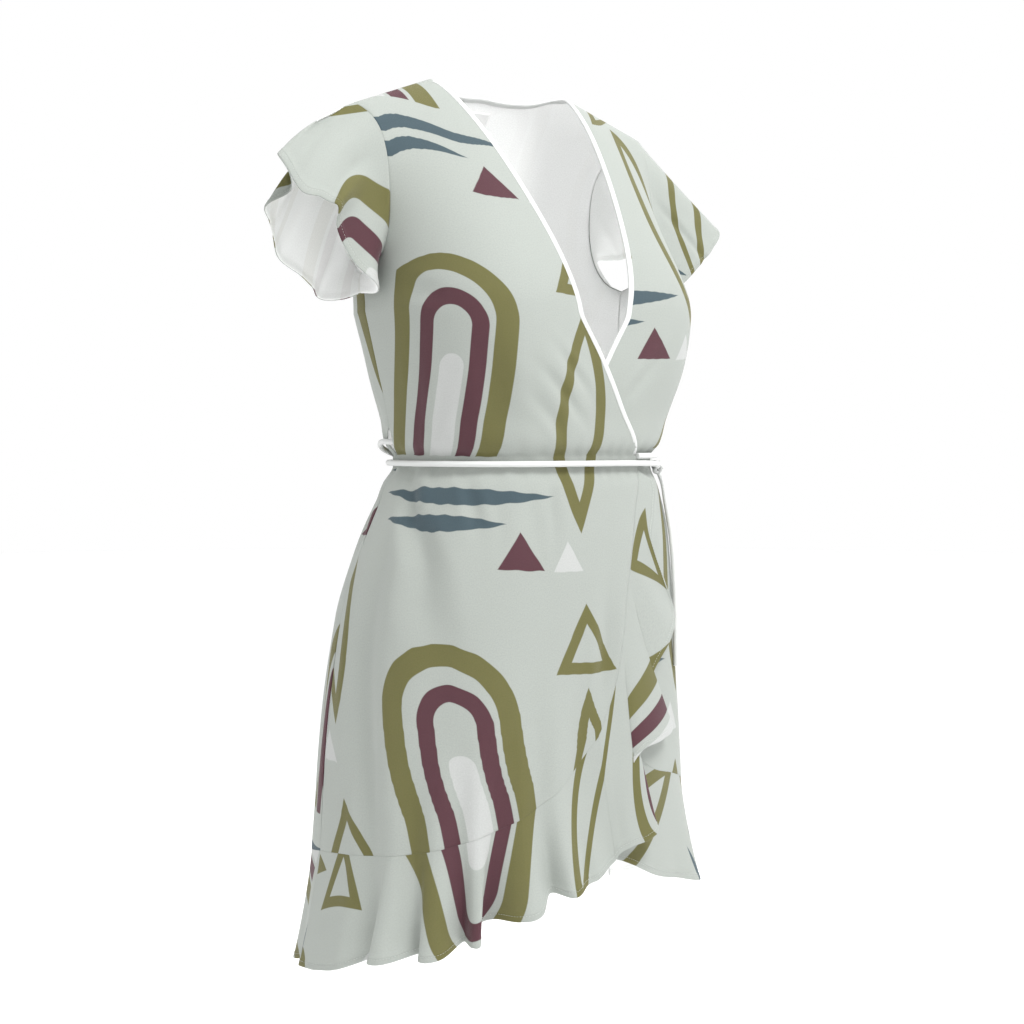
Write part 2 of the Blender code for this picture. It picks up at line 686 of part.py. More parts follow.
# ---- sleeves --------------------------------------------------------------------------------------
def armhole_loop(front, back):
    """Points of the armhole from the underarm up the front and down the back, with the way on."""
    loop = []
    for grid, rows, facing in ((front, range(ARMHOLE_FOOT_ROW, -1, -1), 1.0),
                               (back, range(0, ARMHOLE_FOOT_ROW + 1), -1.0)):
        for r in rows:
            normal = outward(grid, r, 0) * facing
            onward = (grid[r][0] - grid[r][1]).normalized()
            under = ease((r / ARMHOLE_FOOT_ROW - UNDERARM_PART) / (1.0 - UNDERARM_PART))
            loop.append((grid[r][0], onward, normal, under))
    return loop


def sleeve_grid(front, back, hems, bulge):
    """Rows from the armhole to the hem of the right sleeve, columns all the way round."""
    loop = armhole_loop(front, back)
    loop.append(loop[0])
    joined = [k for k in range(len(loop) - 1)
              if (loop[k + 1][0] - loop[k][0]).length > 2 * SHOULDER_GAP]
    stations = []
    place = 0.0
    for k in joined:
        a, b = loop[k], loop[k + 1]
        for n in range(SLEEVE_SPLITS):
            share = n / SLEEVE_SPLITS
            stations.append((place + (b[0] - a[0]).length * share,
                             [x + (y - x) * share for x, y in zip(a, b)]))
        place += (b[0] - a[0]).length
    grid = [[] for _ in range(SLEEVE_ROWS + 1)]
    for at, (seam_point, onward, normal, under) in stations:
        top = math.exp(-((at / place - CAP_PART) / CAP_SPREAD) ** 2)
        stand = FULL_BULGE + (bulge - FULL_BULGE) * top
        hem = Vector([along(hems, k, at / place) for k in (1, 2, 3)])
        start = seam_point + onward * ARMHOLE_GAP + normal * UNDERARM_LIFT * ease(2.0 * under)
        leave = (onward * (1.0 - under) + normal * under).normalized()
        reach = (hem - start).length
        arrive = ((hem - start).normalized() + HEM_FALL).normalized()
        for row in range(SLEEVE_ROWS + 1):
            t = row / SLEEVE_ROWS
            near = start + leave * reach * stand
            far = hem - arrive * reach * stand
            grid[row].append(start * (1 - t)**3 + near * 3 * t * (1 - t)**2
                             + far * 3 * t * t * (1 - t) + hem * t**3)
    return [row + [row[0].copy()] for row in grid]


# ---- ties, knot and label ---------------------------------------------------------------------------
def tie_path(table, count):
    """Evenly spaced points on a smooth path through a table of angle, level and lift."""
    rows = [(number, *row) for number, row in enumerate(table)]
    fine = []
    for step in range((len(rows) - 1) * TIE_STEPS + 1):
        angle, level, lift = (along(rows, k, step / TIE_STEPS) for k in (1, 2, 3))
        fine.append(body_point(angle, level, lift))
    total = sum((b - a).length for a, b in zip(fine, fine[1:]))
    return [at_place(fine, total * n / (count - 1)) for n in range(count)]


def knot(name):
    """The small knot of the two ties."""
    work = bmesh.new()
    bmesh.ops.create_uvsphere(work, u_segments=KNOT_SEGMENTS, v_segments=KNOT_RINGS, radius=1.0)
    centre = body_point(KNOT_ANGLE, KNOT_Z, KNOT_HALF[1] + CLOTH)
    turn = math.radians(KNOT_ANGLE)
    aside = Vector((math.cos(turn), math.sin(turn), 0.0))
    out = Vector((math.sin(turn), -math.cos(turn), 0.0))
    for vertex in work.verts:
        p = vertex.co.copy()
        waist = 1.0 - KNOT_WAIST * math.cos(math.pi * p.z) ** 2
        vertex.co = (centre - aside * p.x * KNOT_HALF[0] * waist + out * p.y * KNOT_HALF[1]
                     + Vector((0.0, 0.0, p.z * KNOT_HALF[2])))
    mesh = bpy.data.meshes.new(name)
    work.to_mesh(mesh)
    work.free()
    mesh.shade_smooth()
    return finish(bpy.data.objects.new(name, mesh), WHITE, TRIM_ROUGH)


def on_panel(grid, row, column):
    """A point on the facets of a panel, between its rows and columns."""
    r = min(int(row), len(grid) - 2)
    c = min(int(column), len(grid[0]) - 2)
    above = grid[r][c].lerp(grid[r][c + 1], column - c)
    below = grid[r + 1][c].lerp(grid[r + 1][c + 1], column - c)
    return above.lerp(below, row - r)


def label_grid(back):
    """A plain label on the inside of the back, made from the back's own points."""
    centre = (len(back[0]) - 1) / 2
    grid = [[on_panel(back, row, centre + aside) for aside in LABEL_COLUMNS]
            for row in LABEL_ROWS]
    inward = (CLOTH + LABEL_THICK) / 2 + LABEL_GAP
    return lifted(grid, lambda r, c: inward)


DRESS = bpy.data.collections.new("tea_dress")


def main():
    for old in list(bpy.data.objects):
        bpy.data.objects.remove(old, do_unlink=True)
    bpy.context.scene.collection.children.link(DRESS)
    right, right_edge = front_panel(OVER_SEAM, LAYER, slit_size)
    left, left_edge = front_panel(UNDER_SEAM, -LAYER, seam_size)
    back, neck_edge = back_panel()
    cloth("front_right", right)
    cloth("front_left", mirrored(left))
    cloth("back", back)
    mirrored_left_edge = mirrored([left_edge])[0]
    binding = binding_grid(right, right_edge, back, neck_edge, mirrored(left), mirrored_left_edge)
    cloth("neck_binding", binding, BINDING_THICK, WHITE)

    right_seam = [row[-1] for row in right[WAIST_ROW:]] + right[-1][-2::-1]
    left_seam = [row[-1] for row in left[WAIST_ROW:]] + left[-1][-2::-1]
    end = SEAM_GAP / 2
    over_line = seam_stations(right_seam, OVER_SPLITS, FLOUNCE_START, end)
    under_line = seam_stations(left_seam, UNDER_SPLITS, UNDER_START, end)
    rear_line = seam_stations(back[-1], UNDER_SPLITS, end, end)
    over = flounce_grid(over_line, CASCADE, 1)
    under = flounce_grid(under_line, UNDER_FOLDS, 1)
    rear = flounce_grid(rear_line, BACK_FOLDS, -1)
    cloth("flounce_front_right", over)
    cloth("flounce_front_left", mirrored(under))
    cloth("flounce_back", rear)

    cloth("sleeve_right", sleeve_grid(right, back, RIGHT_HEM, RIGHT_BULGE), closed=True)
    left_sleeve = mirrored(sleeve_grid(left, back, LEFT_HEM, LEFT_BULGE))
    cloth("sleeve_left", left_sleeve, closed=True)

    cord("tie_right_front", tie_path(RIGHT_TIE, RIGHT_TIE_POINTS))
    cord("tie_left_front", tie_path(LEFT_TIE, LEFT_TIE_POINTS))
    knot("tie_knot")
    cord("tie_end_front", tie_path(FRONT_END, FRONT_END_POINTS))
    cord("tie_end_back", tie_path(BACK_END, BACK_END_POINTS))
    cloth("neck_label", label_grid(back), LABEL_THICK, WHITE)


main()
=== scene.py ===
# %% [markdown]
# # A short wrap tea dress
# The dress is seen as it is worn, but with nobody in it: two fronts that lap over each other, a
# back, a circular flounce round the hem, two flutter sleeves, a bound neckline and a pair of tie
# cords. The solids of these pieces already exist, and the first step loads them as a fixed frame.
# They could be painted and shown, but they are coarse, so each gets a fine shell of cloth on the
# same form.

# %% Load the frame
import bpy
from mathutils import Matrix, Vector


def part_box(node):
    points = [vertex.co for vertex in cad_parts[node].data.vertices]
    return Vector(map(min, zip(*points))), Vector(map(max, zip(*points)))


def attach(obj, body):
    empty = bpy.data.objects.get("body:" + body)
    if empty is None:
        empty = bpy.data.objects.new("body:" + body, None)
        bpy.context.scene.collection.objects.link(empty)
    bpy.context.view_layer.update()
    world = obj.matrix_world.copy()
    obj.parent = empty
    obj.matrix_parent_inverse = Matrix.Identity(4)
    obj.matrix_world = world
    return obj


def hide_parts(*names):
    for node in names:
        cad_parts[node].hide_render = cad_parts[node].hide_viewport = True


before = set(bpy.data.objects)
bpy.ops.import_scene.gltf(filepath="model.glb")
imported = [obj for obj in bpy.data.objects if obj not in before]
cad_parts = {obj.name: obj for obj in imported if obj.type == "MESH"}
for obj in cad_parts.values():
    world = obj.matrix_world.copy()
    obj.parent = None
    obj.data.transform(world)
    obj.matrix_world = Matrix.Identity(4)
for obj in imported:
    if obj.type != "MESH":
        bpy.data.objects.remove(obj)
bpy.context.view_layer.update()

# %% Blender's modules
import bisect
import math

import bmesh
import bpy
from mathutils import Vector

# %% [markdown]
# ## Camera
# A garment is usually pictured from about breast height, far enough away that the shoulders and
# the hem keep their proportions. A long lens about two metres off does that, from the front right
# and nearly level. The camera could also track an empty, but a place and an angle worked out from
# a few named values stay the same when pieces change.

# %% Camera
AXIS = Vector((0.0, -0.036, 0.0))
CAMERA_ROUND = -40.0          # degrees round the dress from straight in front
CAMERA_AWAY = 1.944
CAMERA_LEVEL = -0.357
CAMERA_PITCH = 2.3            # degrees downwards
LENS = 66.69
SHIFT = -0.0088


def add_object(name, data):
    """A new object of the scene that shows the data."""
    made = bpy.data.objects.new(name, data)
    bpy.context.scene.collection.objects.link(made)
    return made


def make_camera():
    data = bpy.data.cameras.new("camera")
    data.lens = LENS
    data.sensor_width = 36.0
    data.shift_x = SHIFT
    data.clip_end = 60.0
    camera = add_object("camera", data)
    turn = math.radians(CAMERA_ROUND)
    back = Vector((math.sin(turn), -math.cos(turn), 0.0))
    camera.location = AXIS + back * CAMERA_AWAY + Vector((0.0, 0.0, CAMERA_LEVEL))
    camera.rotation_euler = (math.radians(90.0 - CAMERA_PITCH), 0.0, turn)
    bpy.context.scene.camera = camera
    return camera


print("camera at", [round(v, 3) for v in make_camera().location])

# %% [markdown]
# ## The form
# A dress with nobody in it still has a body's hollow. It could be sculpted, or draped over a
# figure by simulation, but a pattern cutter thinks in measurements: a half width, a front depth
# and a back depth at each level. A smooth curve through each column of such a table gives any
# level in between, and a squarish oval through the three sizes gives the outline there.

# %% Tables and curves
def metres(table, kept=()):
    """A table of millimetres in metres, apart from the columns that are kept as they are."""
    return tuple(tuple(value if column in kept else value / 1000
                       for column, value in enumerate(row)) for row in table)


def ease(part):
    """Smooth step from 0 to 1."""
    part = min(max(part, 0.0), 1.0)
    return part * part * (3.0 - 2.0 * part)


def hermite(t, start, leave, end, arrive):
    """A place on the curve that leaves its start and arrives at its end in the given ways."""
    return (start * (2 * t**3 - 3 * t**2 + 1) + leave * (t**3 - 2 * t**2 + t)
            + end * (3 * t**2 - 2 * t**3) + arrive * (t**3 - t**2))


def along(table, column, at):
    """Smooth curve through one column of a table whose first column rises or falls."""
    rows = table if table[0][0] < table[-1][0] else table[::-1]
    at = min(max(at, rows[0][0]), rows[-1][0])

    def slope(k):
        k = min(max(k, 0), len(rows) - 2)
        return (rows[k + 1][column] - rows[k][column]) / (rows[k + 1][0] - rows[k][0])

    i = next((k for k, row in enumerate(rows) if row[0] > at), len(rows) - 1) - 1
    step = rows[i + 1][0] - rows[i][0]
    leave, arrive = (0.5 * (slope(k - 1) + slope(k)) * step for k in (i, i + 1))
    return hermite((at - rows[i][0]) / step, rows[i][column], leave, rows[i + 1][column], arrive)


print("halfway of the smooth step:", ease(0.5))

# %% Sections of the form
# level, half width, front depth, back depth and centre, all in mm, then the side seam's angle
SECTIONS = metres((
    (-235, 172, 126, 141, -34, 101), (-295, 162, 122, 131, -41, 101.5), (-340, 150, 118, 121, -42, 103.5),
    (-366.5, 143, 117, 117, -40, 107), (-375, 135, 113.5, 109, -38, 109),
    (-378, 135, 113.5, 109, -38, 109), (-387, 135, 113.5, 109, -38, 109),
    (-390, 135, 113.5, 109, -38, 109), (-404, 143.5, 119, 118, -37, 109), (-425, 151, 122, 126, -36, 109),
    (-464, 165, 130, 137, -31, 108), (-520, 177, 145, 147, -18, 107), (-571, 183, 154, 153, -10, 106),
    (-680, 192, 166, 160, -3, 105), (-790, 198, 171, 164, 0, 104), (-930, 206, 178, 170, 2, 104),
), kept=(5,))
HALF, FRONT, BACK, CENTRE, SIDE = 1, 2, 3, 4, 5
SQUARENESS = 2.3
BUST_Z = -0.235
WAIST_Z = -0.375
TIE_Z = -0.382
SKIRT_TOP = -0.404
BUST_ANGLE = 45.0
BUST_OUT = 0.023
BUST_SPREAD = 22.0
BUST_HEIGHT = 0.085


def bust(angle, level):
    aside = (abs(angle) - BUST_ANGLE) / BUST_SPREAD
    height = (level - BUST_Z) / BUST_HEIGHT
    return BUST_OUT * math.exp(-aside * aside - height * height)


def body_point(angle, level, out=0.0):
    """A point of the form below the bust line; angle 0 is the front, +90 the wearer's left."""
    turn = math.radians(angle)
    depth = along(SECTIONS, FRONT if math.cos(turn) > 0 else BACK, level)
    reach = ((abs(math.sin(turn)) / along(SECTIONS, HALF, level)) ** SQUARENESS
             + (abs(math.cos(turn)) / depth) ** SQUARENESS) ** (-1.0 / SQUARENESS)
    reach += bust(angle, level) + out
    return Vector((reach * math.sin(turn), along(SECTIONS, CENTRE, level) - reach * math.cos(turn),
                   level))


print("waist round", round(2 * math.pi * body_point(90, WAIST_Z).x, 3))

# %% [markdown]
# ## Hanging tie ends
# The dress closes with two rouleau ties: narrow tubes of the white cloth, turned right side out.
# They run round the waist and meet in a knot at the wearer's left, and both ends hang from it. A
# hanging end is limp, so it could be simulated as a rope. It touches the skirt nearly all the
# way, though, so its route is given as angles, levels and a lift over the form, and a
# curve with a round bevel follows it. The ends need only the form, so they come before the cloth.

# %% Places along a line
def runs(line):
    """How far each point of a line lies from its start, along the line."""
    passed = [0.0]
    for a, b in zip(line, line[1:]):
        passed.append(passed[-1] + (b - a).length)
    return passed


def line_length(line):
    return runs(line)[-1]


def mix(rows, at):
    """The numbers after the first of a table's rows, mixed straight between the two nearest."""
    after = max(min(bisect.bisect_left(rows, (at,)), len(rows) - 1), 1)
    (low, *start), (high, *end) = rows[after - 1:after + 1]
    share = (at - low) / (high - low) if high > low else 0.0
    return [a + (b - a) * share for a, b in zip(start, end)]


def knots_at(knots, places):
    """The knots of a path, each a point with its directions, at distances along the path."""
    passed = runs([knot[0] for knot in knots])
    rows = [(p, *(value for vector in knot for value in vector)) for p, knot in zip(passed, knots)]
    mixed = [mix(rows, place) for place in places]
    return [[Vector(row[k:k + 3]) for k in range(0, len(row), 3)] for row in mixed]


def spots(line, places):
    """Points at distances along a line of points."""
    return [knot[0] for knot in knots_at([(point,) for point in line], places)]


print("a third of the way from 2 to 5:", mix(((0.0, 2.0), (3.0, 5.0)), 1.0))

# %% A tube of cloth
CORD_RADIUS = 0.0030
UNEVEN = 0.03                 # of the radius
UNEVEN_WAVES = (0.9, 0.31)    # turns of the two waves that thin it, at each point
TIE_STEPS = 12


def tie_path(table, count):
    """Evenly spaced points on a smooth path through a table of angle, level and lift."""
    rows = [(number, *row) for number, row in enumerate(table)]
    fine = [body_point(*(along(rows, k, step / TIE_STEPS) for k in (1, 2, 3)))
            for step in range((len(rows) - 1) * TIE_STEPS + 1)]
    return spots(fine, [line_length(fine) * n / (count - 1) for n in range(count)])


def stand_for(piece, node):
    """The piece takes the place of a solid, on the dress's one body."""
    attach(piece, "root")
    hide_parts(node)
    return piece


def rouleau(name, points, node, radius=CORD_RADIUS):
    """A round tube of cloth along the points, a little uneven, in place of a solid."""
    line = bpy.data.curves.new(name, "CURVE")
    line.dimensions = "3D"
    line.bevel_depth = 1.0        # each point's own radius is then its real one
    line.bevel_resolution = 5
    line.use_fill_caps = True
    run = line.splines.new("POLY")
    run.points.add(len(points) - 1)
    for number, (spot, place) in enumerate(zip(run.points, points)):
        thin = 1.0 - math.sin(number * UNEVEN_WAVES[0]) * math.cos(number * UNEVEN_WAVES[1])
        spot.co = (*place, 1.0)
        spot.radius = radius * (1.0 - UNEVEN * thin)
    run.use_smooth = True
    return stand_for(add_object(name, line), node)


print("a rouleau is", 2000 * CORD_RADIUS, "mm thick")

# %% Tie ends
# angle, then level and lift in mm
FRONT_END = metres((
    (54.4, -395.5, 7), (53.2, -412, 5.4), (51, -445, 4.4), (47.5, -490, 4.2), (44.5, -540, 4.2),
    (42, -593, 4.2),
), kept=(0,))
BACK_END = metres((
    (57.6, -395.5, 7), (57, -412, 5.4), (55.4, -445, 4.4), (52, -490, 4.2), (49, -535, 4.2),
    (46.5, -572, 4.2),
), kept=(0,))
END_POINTS = 48
tie_ends = []
for name, table in (("tie_end_front", FRONT_END), ("tie_end_back", BACK_END)):
    points = tie_path(table, END_POINTS)
    end = rouleau("hanging_" + name, points, name)
    tie_ends.append(end)
    print(name, "is", round(line_length(points), 3), "m long")

# %% [markdown]
# ## The yoke
# From the shoulder seams down to the bust line the cloth drapes in a double curve. Each thread
# of it leaves the shoulder line almost level and arrives at the bust line hanging down. It could
# be pulled into shape by hand, but a curve with those two directions gives the whole surface, and
# the armhole and the neckline are then places along it, which is how a pattern is cut too.

# %% Yoke
NECK_HALF = 0.088
SHOULDER_HALF = 0.188
SHOULDER_DROP = 0.036
SHOULDER_BACK = -0.010
YOKE_HALF = 0.2043
NECK_FALL = 0.4               # slope of the line over the neck, of the shoulder's own
# how a thread leaves the shoulder line at the centre, and how that changes to the side
BACK_LEAVE = (0.150, 0.180)
FRONT_LEAVE = (-0.115, -0.055)
LEAVE_DOWN = (-0.030, -0.050)
ARRIVE_DOWN = -0.200
SEAM_MEET = 0.14              # share of the width over which front and back draw together


def shoulder_point(place):
    """A point of the shoulder line, carried on over the neck opening."""
    x = place * YOKE_HALF
    past_neck = (abs(x) - NECK_HALF) / (SHOULDER_HALF - NECK_HALF)
    fall = SHOULDER_DROP * past_neck * (1.0 if past_neck > 0 else NECK_FALL)
    return Vector((x, SHOULDER_BACK * max(past_neck, 0.0), -fall))


def yoke_point(place, part, is_back):
    """A point between the shoulder line (part 0) and the bust line (part 1)."""
    side = along(SECTIONS, SIDE, BUST_Z)
    angle = place * side
    if is_back:
        angle = math.copysign(180.0, place) - place * (180.0 - side)
    level, change = BACK_LEAVE if is_back else FRONT_LEAVE
    away = (level + change * place**2) * ease((1.0 - abs(place)) / SEAM_MEET)
    leave = Vector((0.0, away, LEAVE_DOWN[0] + LEAVE_DOWN[1] * place**2))
    point = hermite(part, shoulder_point(place), leave, body_point(angle, BUST_Z),
                    Vector((0.0, 0.0, ARRIVE_DOWN)))
    if not is_back and part < 1.0:
        turn = math.radians(angle)
        swell = bust(angle, point.z) - ease(part) * bust(angle, BUST_Z)
        point += Vector((math.sin(turn), -math.cos(turn), 0.0)) * swell * ease(part)
    return point


print("shoulder tip at", [round(v, 3) for v in shoulder_point(SHOULDER_HALF / YOKE_HALF)])

# %% Armhole and neckline
ARMHOLE_END = 0.92
ARMHOLE_FRONT = 0.850
ARMHOLE_BACK = 0.860
ARMHOLE_ROUND = 3.5
ARMHOLE_FOOT = 5 / 6          # part of the yoke where the underarm lies
# part of the yoke, sideways place of the front's neck edge
NECKLINE = ((0.0, -0.431), (0.25, -0.367), (0.5, -0.285), (0.75, -0.2015), (1.0, -0.1304))
# level and distance from the centre front, in mm
FRONT_EDGE = metres((
    (-235, -34), (-278, -5), (-330, 25.5), (-383, 58), (-430, 47), (-506, 31), (-570, 19), (-616, 5),
    (-650, -14),
))
NECK_SHARE = NECK_HALF / (ARMHOLE_END * YOKE_HALF)
BACK_NECK_PART = 0.17
HALVINGS = 28


def armhole(part, inmost):
    """Sideways place of the armhole edge on the yoke; 1 is the side seam."""
    t = part / ARMHOLE_FOOT
    if t >= 0.999:
        return 1.0
    if t <= 0.5:
        return ARMHOLE_END + (inmost - ARMHOLE_END) * math.sin(math.pi * t)
    round_foot = 1.0 - math.sqrt(max(1.0 - ((t - 0.5) / 0.5) ** ARMHOLE_ROUND, 0.0))
    return inmost + (1.0 - inmost) * round_foot


def angle_at(x, level):
    """Angle of the front at a distance from the centre front, found by halving."""
    low, high = -80.0, 80.0
    for _ in range(HALVINGS):
        middle = 0.5 * (low + high)
        if body_point(middle, level).x < x:
            low = middle
        else:
            high = middle
    return 0.5 * (low + high)


def outward(grid, row, column):
    """Unit normal of a grid of points, by its neighbours."""
    rows = len(grid) - 1
    columns = len(grid[0]) - 1
    down = grid[min(row + 1, rows)][column] - grid[max(row - 1, 0)][column]
    across = grid[row][min(column + 1, columns)] - grid[row][max(column - 1, 0)]
    return down.cross(across).normalized()


def lifted(grid, lift):
    """The grid moved along its normals by lift(row, column)."""
    return [[point + outward(grid, r, c) * lift(r, c) for c, point in enumerate(row)]
            for r, row in enumerate(grid)]


print("front edge meets the waist at", round(angle_at(along(FRONT_EDGE, 1, WAIST_Z), WAIST_Z), 1))

# %% [markdown]
# ## Creases
# Even smooth cloth pulls into soft troughs: down from the tie, under the bust and along the
# thigh. A simulation would find its own, but these are placed where such a dress has them. Each
# is a line on the form, given by its two ends, with a width and a depth. Its cross-section is a
# bell curve that fades out at both ends, and beside the trough the cloth rises a little.

# %% Crease tables
# angle and level of one end, then of the other, half width, depth (minus is a trough); in mm
RIGHT_CREASES = metres((
    (-92, -396, -70, -484, 11, -5.8), (-76, -440, -62, -560, 15, -5.2), (-82, -405, -76, -470, 9, 2.4),
    (-62, -396, -54, -452, 6.5, -2.8), (-28, -400, -25, -466, 6, -1.6), (-44, -402, -40, -470, 9, 1.4),
    (-91, -470, -84, -700, 14, -6.2), (-82, -620, -77, -810, 10, -4.8), (-74, -520, -68, -730, 20, 3),
    (-40, -560, -44, -700, 24, 2.2), (2, -510, -2, -640, 10, -4.2), (-6, -590, -16, -715, 12, -4),
    (-20, -560, -27, -720, 12, 2), (-52, -262, -49, -352, 13, -2.2), (-28, -272, -9, -318, 5, -1.6),
    (-34, -292, -13, -342, 5.5, -2), (-38, -318, -20, -362, 6, -1.4), (-76, -258, -84, -350, 8, -1.6),
    (-66, -300, -78, -365, 7, -1.6), (-80, -215, -60, -228, 8, -1.8), (-27, -640, -27, -780, 8, -2.8),
    (-40, -650, -40, -810, 9, -3.4), (-51, -665, -51, -820, 8, -3.6), (-64, -675, -64, -830, 8, -3.6),
), kept=(0, 2))
LEFT_CREASES = metres((
    (-62, -268, -56, -352, 10, -2), (-30, -280, -12, -330, 6, -1.6), (-74, -300, -80, -362, 8, -1.8),
    (-70, -396, -60, -470, 9, -3.4), (-92, -396, -80, -480, 10, -3), (-84, -500, -80, -700, 13, -3.6),
    (-58, -470, -56, -640, 13, -2.2), (-40, -560, -44, -690, 14, 2.2), (-82, -215, -60, -228, 8, -1.8),
    (-66, -655, -66, -800, 9, -3.4), (-84, -680, -84, -820, 9, -3.4),
), kept=(0, 2))
BACK_CREASES = metres((
    (176, -262, 172, -362, 11, -2.6), (-166, -290, -170, -366, 8, -2), (150, -300, 158, -366, 8, -2.2),
    (-142, -268, -152, -360, 10, -2.4), (125, -282, 118, -360, 8, -1.6),
    (-118, -270, -112, -352, 8, -1.8), (160, -396, 150, -480, 8, -4), (-172, -396, -168, -500, 9, -3.6),
    (-150, -398, -138, -470, 8, -3.4), (132, -398, 122, -462, 8, -3), (-122, -400, -112, -480, 9, -3),
    (172, -440, 168, -640, 16, -4), (140, -520, 136, -740, 16, -4.2), (-146, -500, -144, -720, 18, -4.4),
    (-118, -560, -116, -740, 14, -3.8), (114, -560, 112, -740, 14, -3.6), (-168, -600, -170, -760, 13, 3),
    (154, -620, 152, -760, 13, 3), (170, -110, 150, -150, 12, -2.2), (-170, -130, -146, -165, 12, -2),
    (-136, -700, -136, -860, 9, -3.6), (-163, -690, -163, -870, 10, -3.6), (168, -710, 168, -870, 9, -4),
    (140, -695, 140, -860, 9, -3.4), (118, -705, 118, -850, 8, -3.4),
), kept=(0, 2))
print("creases:", len(RIGHT_CREASES) + len(LEFT_CREASES) + len(BACK_CREASES))

# %% Crease shape
CREASE_REACH = 0.05           # above and below a crease, past which it moves nothing
CREASE_FAR = 3.5              # the same beside it, in half widths
CREASE_END = 0.016            # over which a crease fades past its ends
END_SHARE = 0.25              # of its depth that a crease has at its ends
RIM_SHARE = 0.45              # how much the cloth rises beside a trough
RIM_PLACE = 1.9               # where, and how far to each side, in half widths
RIM_WIDTH = 0.8
PUCKERS = 47                  # small gathers round the waist
PUCKER_DRIFT = 2.0            # how far they stray from even spacing, and how often
PUCKER_TURNS = 5.0
PUCKER_DEPTH = 0.0008
PUCKER_REACH = 0.013
TIE_FLAT = 0.004              # half of the flat strip under the tie
FORM_RADIUS = 0.155


def crease_at(creases, angle, level):
    """How far the creases move the cloth at a place on the form."""
    moved = 0.0
    for a0, z0, a1, z1, width, depth in creases:
        if not min(z0, z1) - CREASE_REACH < level < max(z0, z1) + CREASE_REACH:
            continue
        run = math.radians(a1 - a0) * FORM_RADIUS
        rise = z1 - z0
        length = math.hypot(run, rise)
        x = math.radians((angle - a0 + 180.0) % 360.0 - 180.0) * FORM_RADIUS
        y = level - z0
        part = (x * run + y * rise) / length**2
        aside = abs(x * rise - y * run) / length / width
        if aside > CREASE_FAR:
            continue
        past = max(-part, part - 1.0, 0.0) * length / CREASE_END
        swell = math.sin(math.pi * min(max(part, 0.0), 1.0))
        fade = math.exp(-past * past) * (END_SHARE + (1.0 - END_SHARE) * swell)
        rim = RIM_SHARE * math.exp(-((aside - RIM_PLACE) / RIM_WIDTH) ** 2)
        moved += depth * (math.exp(-aside * aside) - rim) * fade
    near = abs(level - TIE_Z) - TIE_FLAT
    turn = math.radians(angle)
    pucker = math.sin(turn * PUCKERS + PUCKER_DRIFT * math.sin(turn * PUCKER_TURNS))
    fade = math.exp(-(max(near, 0.0) / PUCKER_REACH) ** 2) * ease(near / TIE_FLAT)
    return moved + PUCKER_DEPTH * pucker * fade


print("deepest at the hip:", round(1000 * crease_at(RIGHT_CREASES, -69, -0.50), 1), "mm")


# %% [markdown]
# ## Fronts and back as grids of points
# A panel is a grid: its columns run from one seam to the other, and its rows from the shoulder
# down to the flounce seam. A subdivided coarse cage would be quicker, but a fine grid read from
# the form itself lies exactly on it. Rows and columns come closer together at the seams, so that
# the cloth can roll into the seam there, as pressed seams do.

# %% Rows and columns
# angle, then level in mm
OVER_SEAM = metres(((-5, -650), (-20, -695), (-38, -728), (-60, -752), (-105, -772)), kept=(0,))
UNDER_SEAM = metres(((-5, -650), (-20, -686), (-38, -702), (-60, -722), (-105, -772)), kept=(0,))
BACK_SEAM = metres(((104, -772), (130, -786), (180, -796)), kept=(0,))
YOKE_STEPS = 42
BODICE_STEPS = 46
SKIRT_STEPS = 76
YOKE_LENGTH = 0.24            # lengths of cloth, so that the rows at its seams lie in place
FRONT_SKIRT = 0.36
BACK_SKIRT = 0.38
ACROSS_FRONT = 96
ACROSS_BACK = 150
SEAM_STEPS = (0.0, 0.0007, 0.0016, 0.0030, 0.0048)     # distances of the rows nearest a seam


def parts_with_seam(count, length, at_start, at_end):
    """Rising parts from 0 to 1, closer together at the ends that are sewn."""
    near = [d / length for d in SEAM_STEPS]
    low = near[-1] if at_start else 0.0
    high = 1.0 - (near[-1] if at_end else 0.0)
    between = [low + (high - low) * k / count for k in range(count + 1)]
    before = near[:-1] if at_start else []
    after = [1.0 - p for p in near[-2::-1]] if at_end else []
    return before + between + after


def rows_below(skirt):
    """Each row below the bust line as a level and the part of the way down from it to the foot."""
    bodice = [(BUST_Z + (SKIRT_TOP - BUST_Z) * row / BODICE_STEPS, 0.0)
              for row in range(1, BODICE_STEPS + 1)]
    return bodice + [(SKIRT_TOP, part)
                     for part in parts_with_seam(SKIRT_STEPS, skirt, False, True)[1:]]


print("steps down a panel between its seams:", YOKE_STEPS + BODICE_STEPS + SKIRT_STEPS)


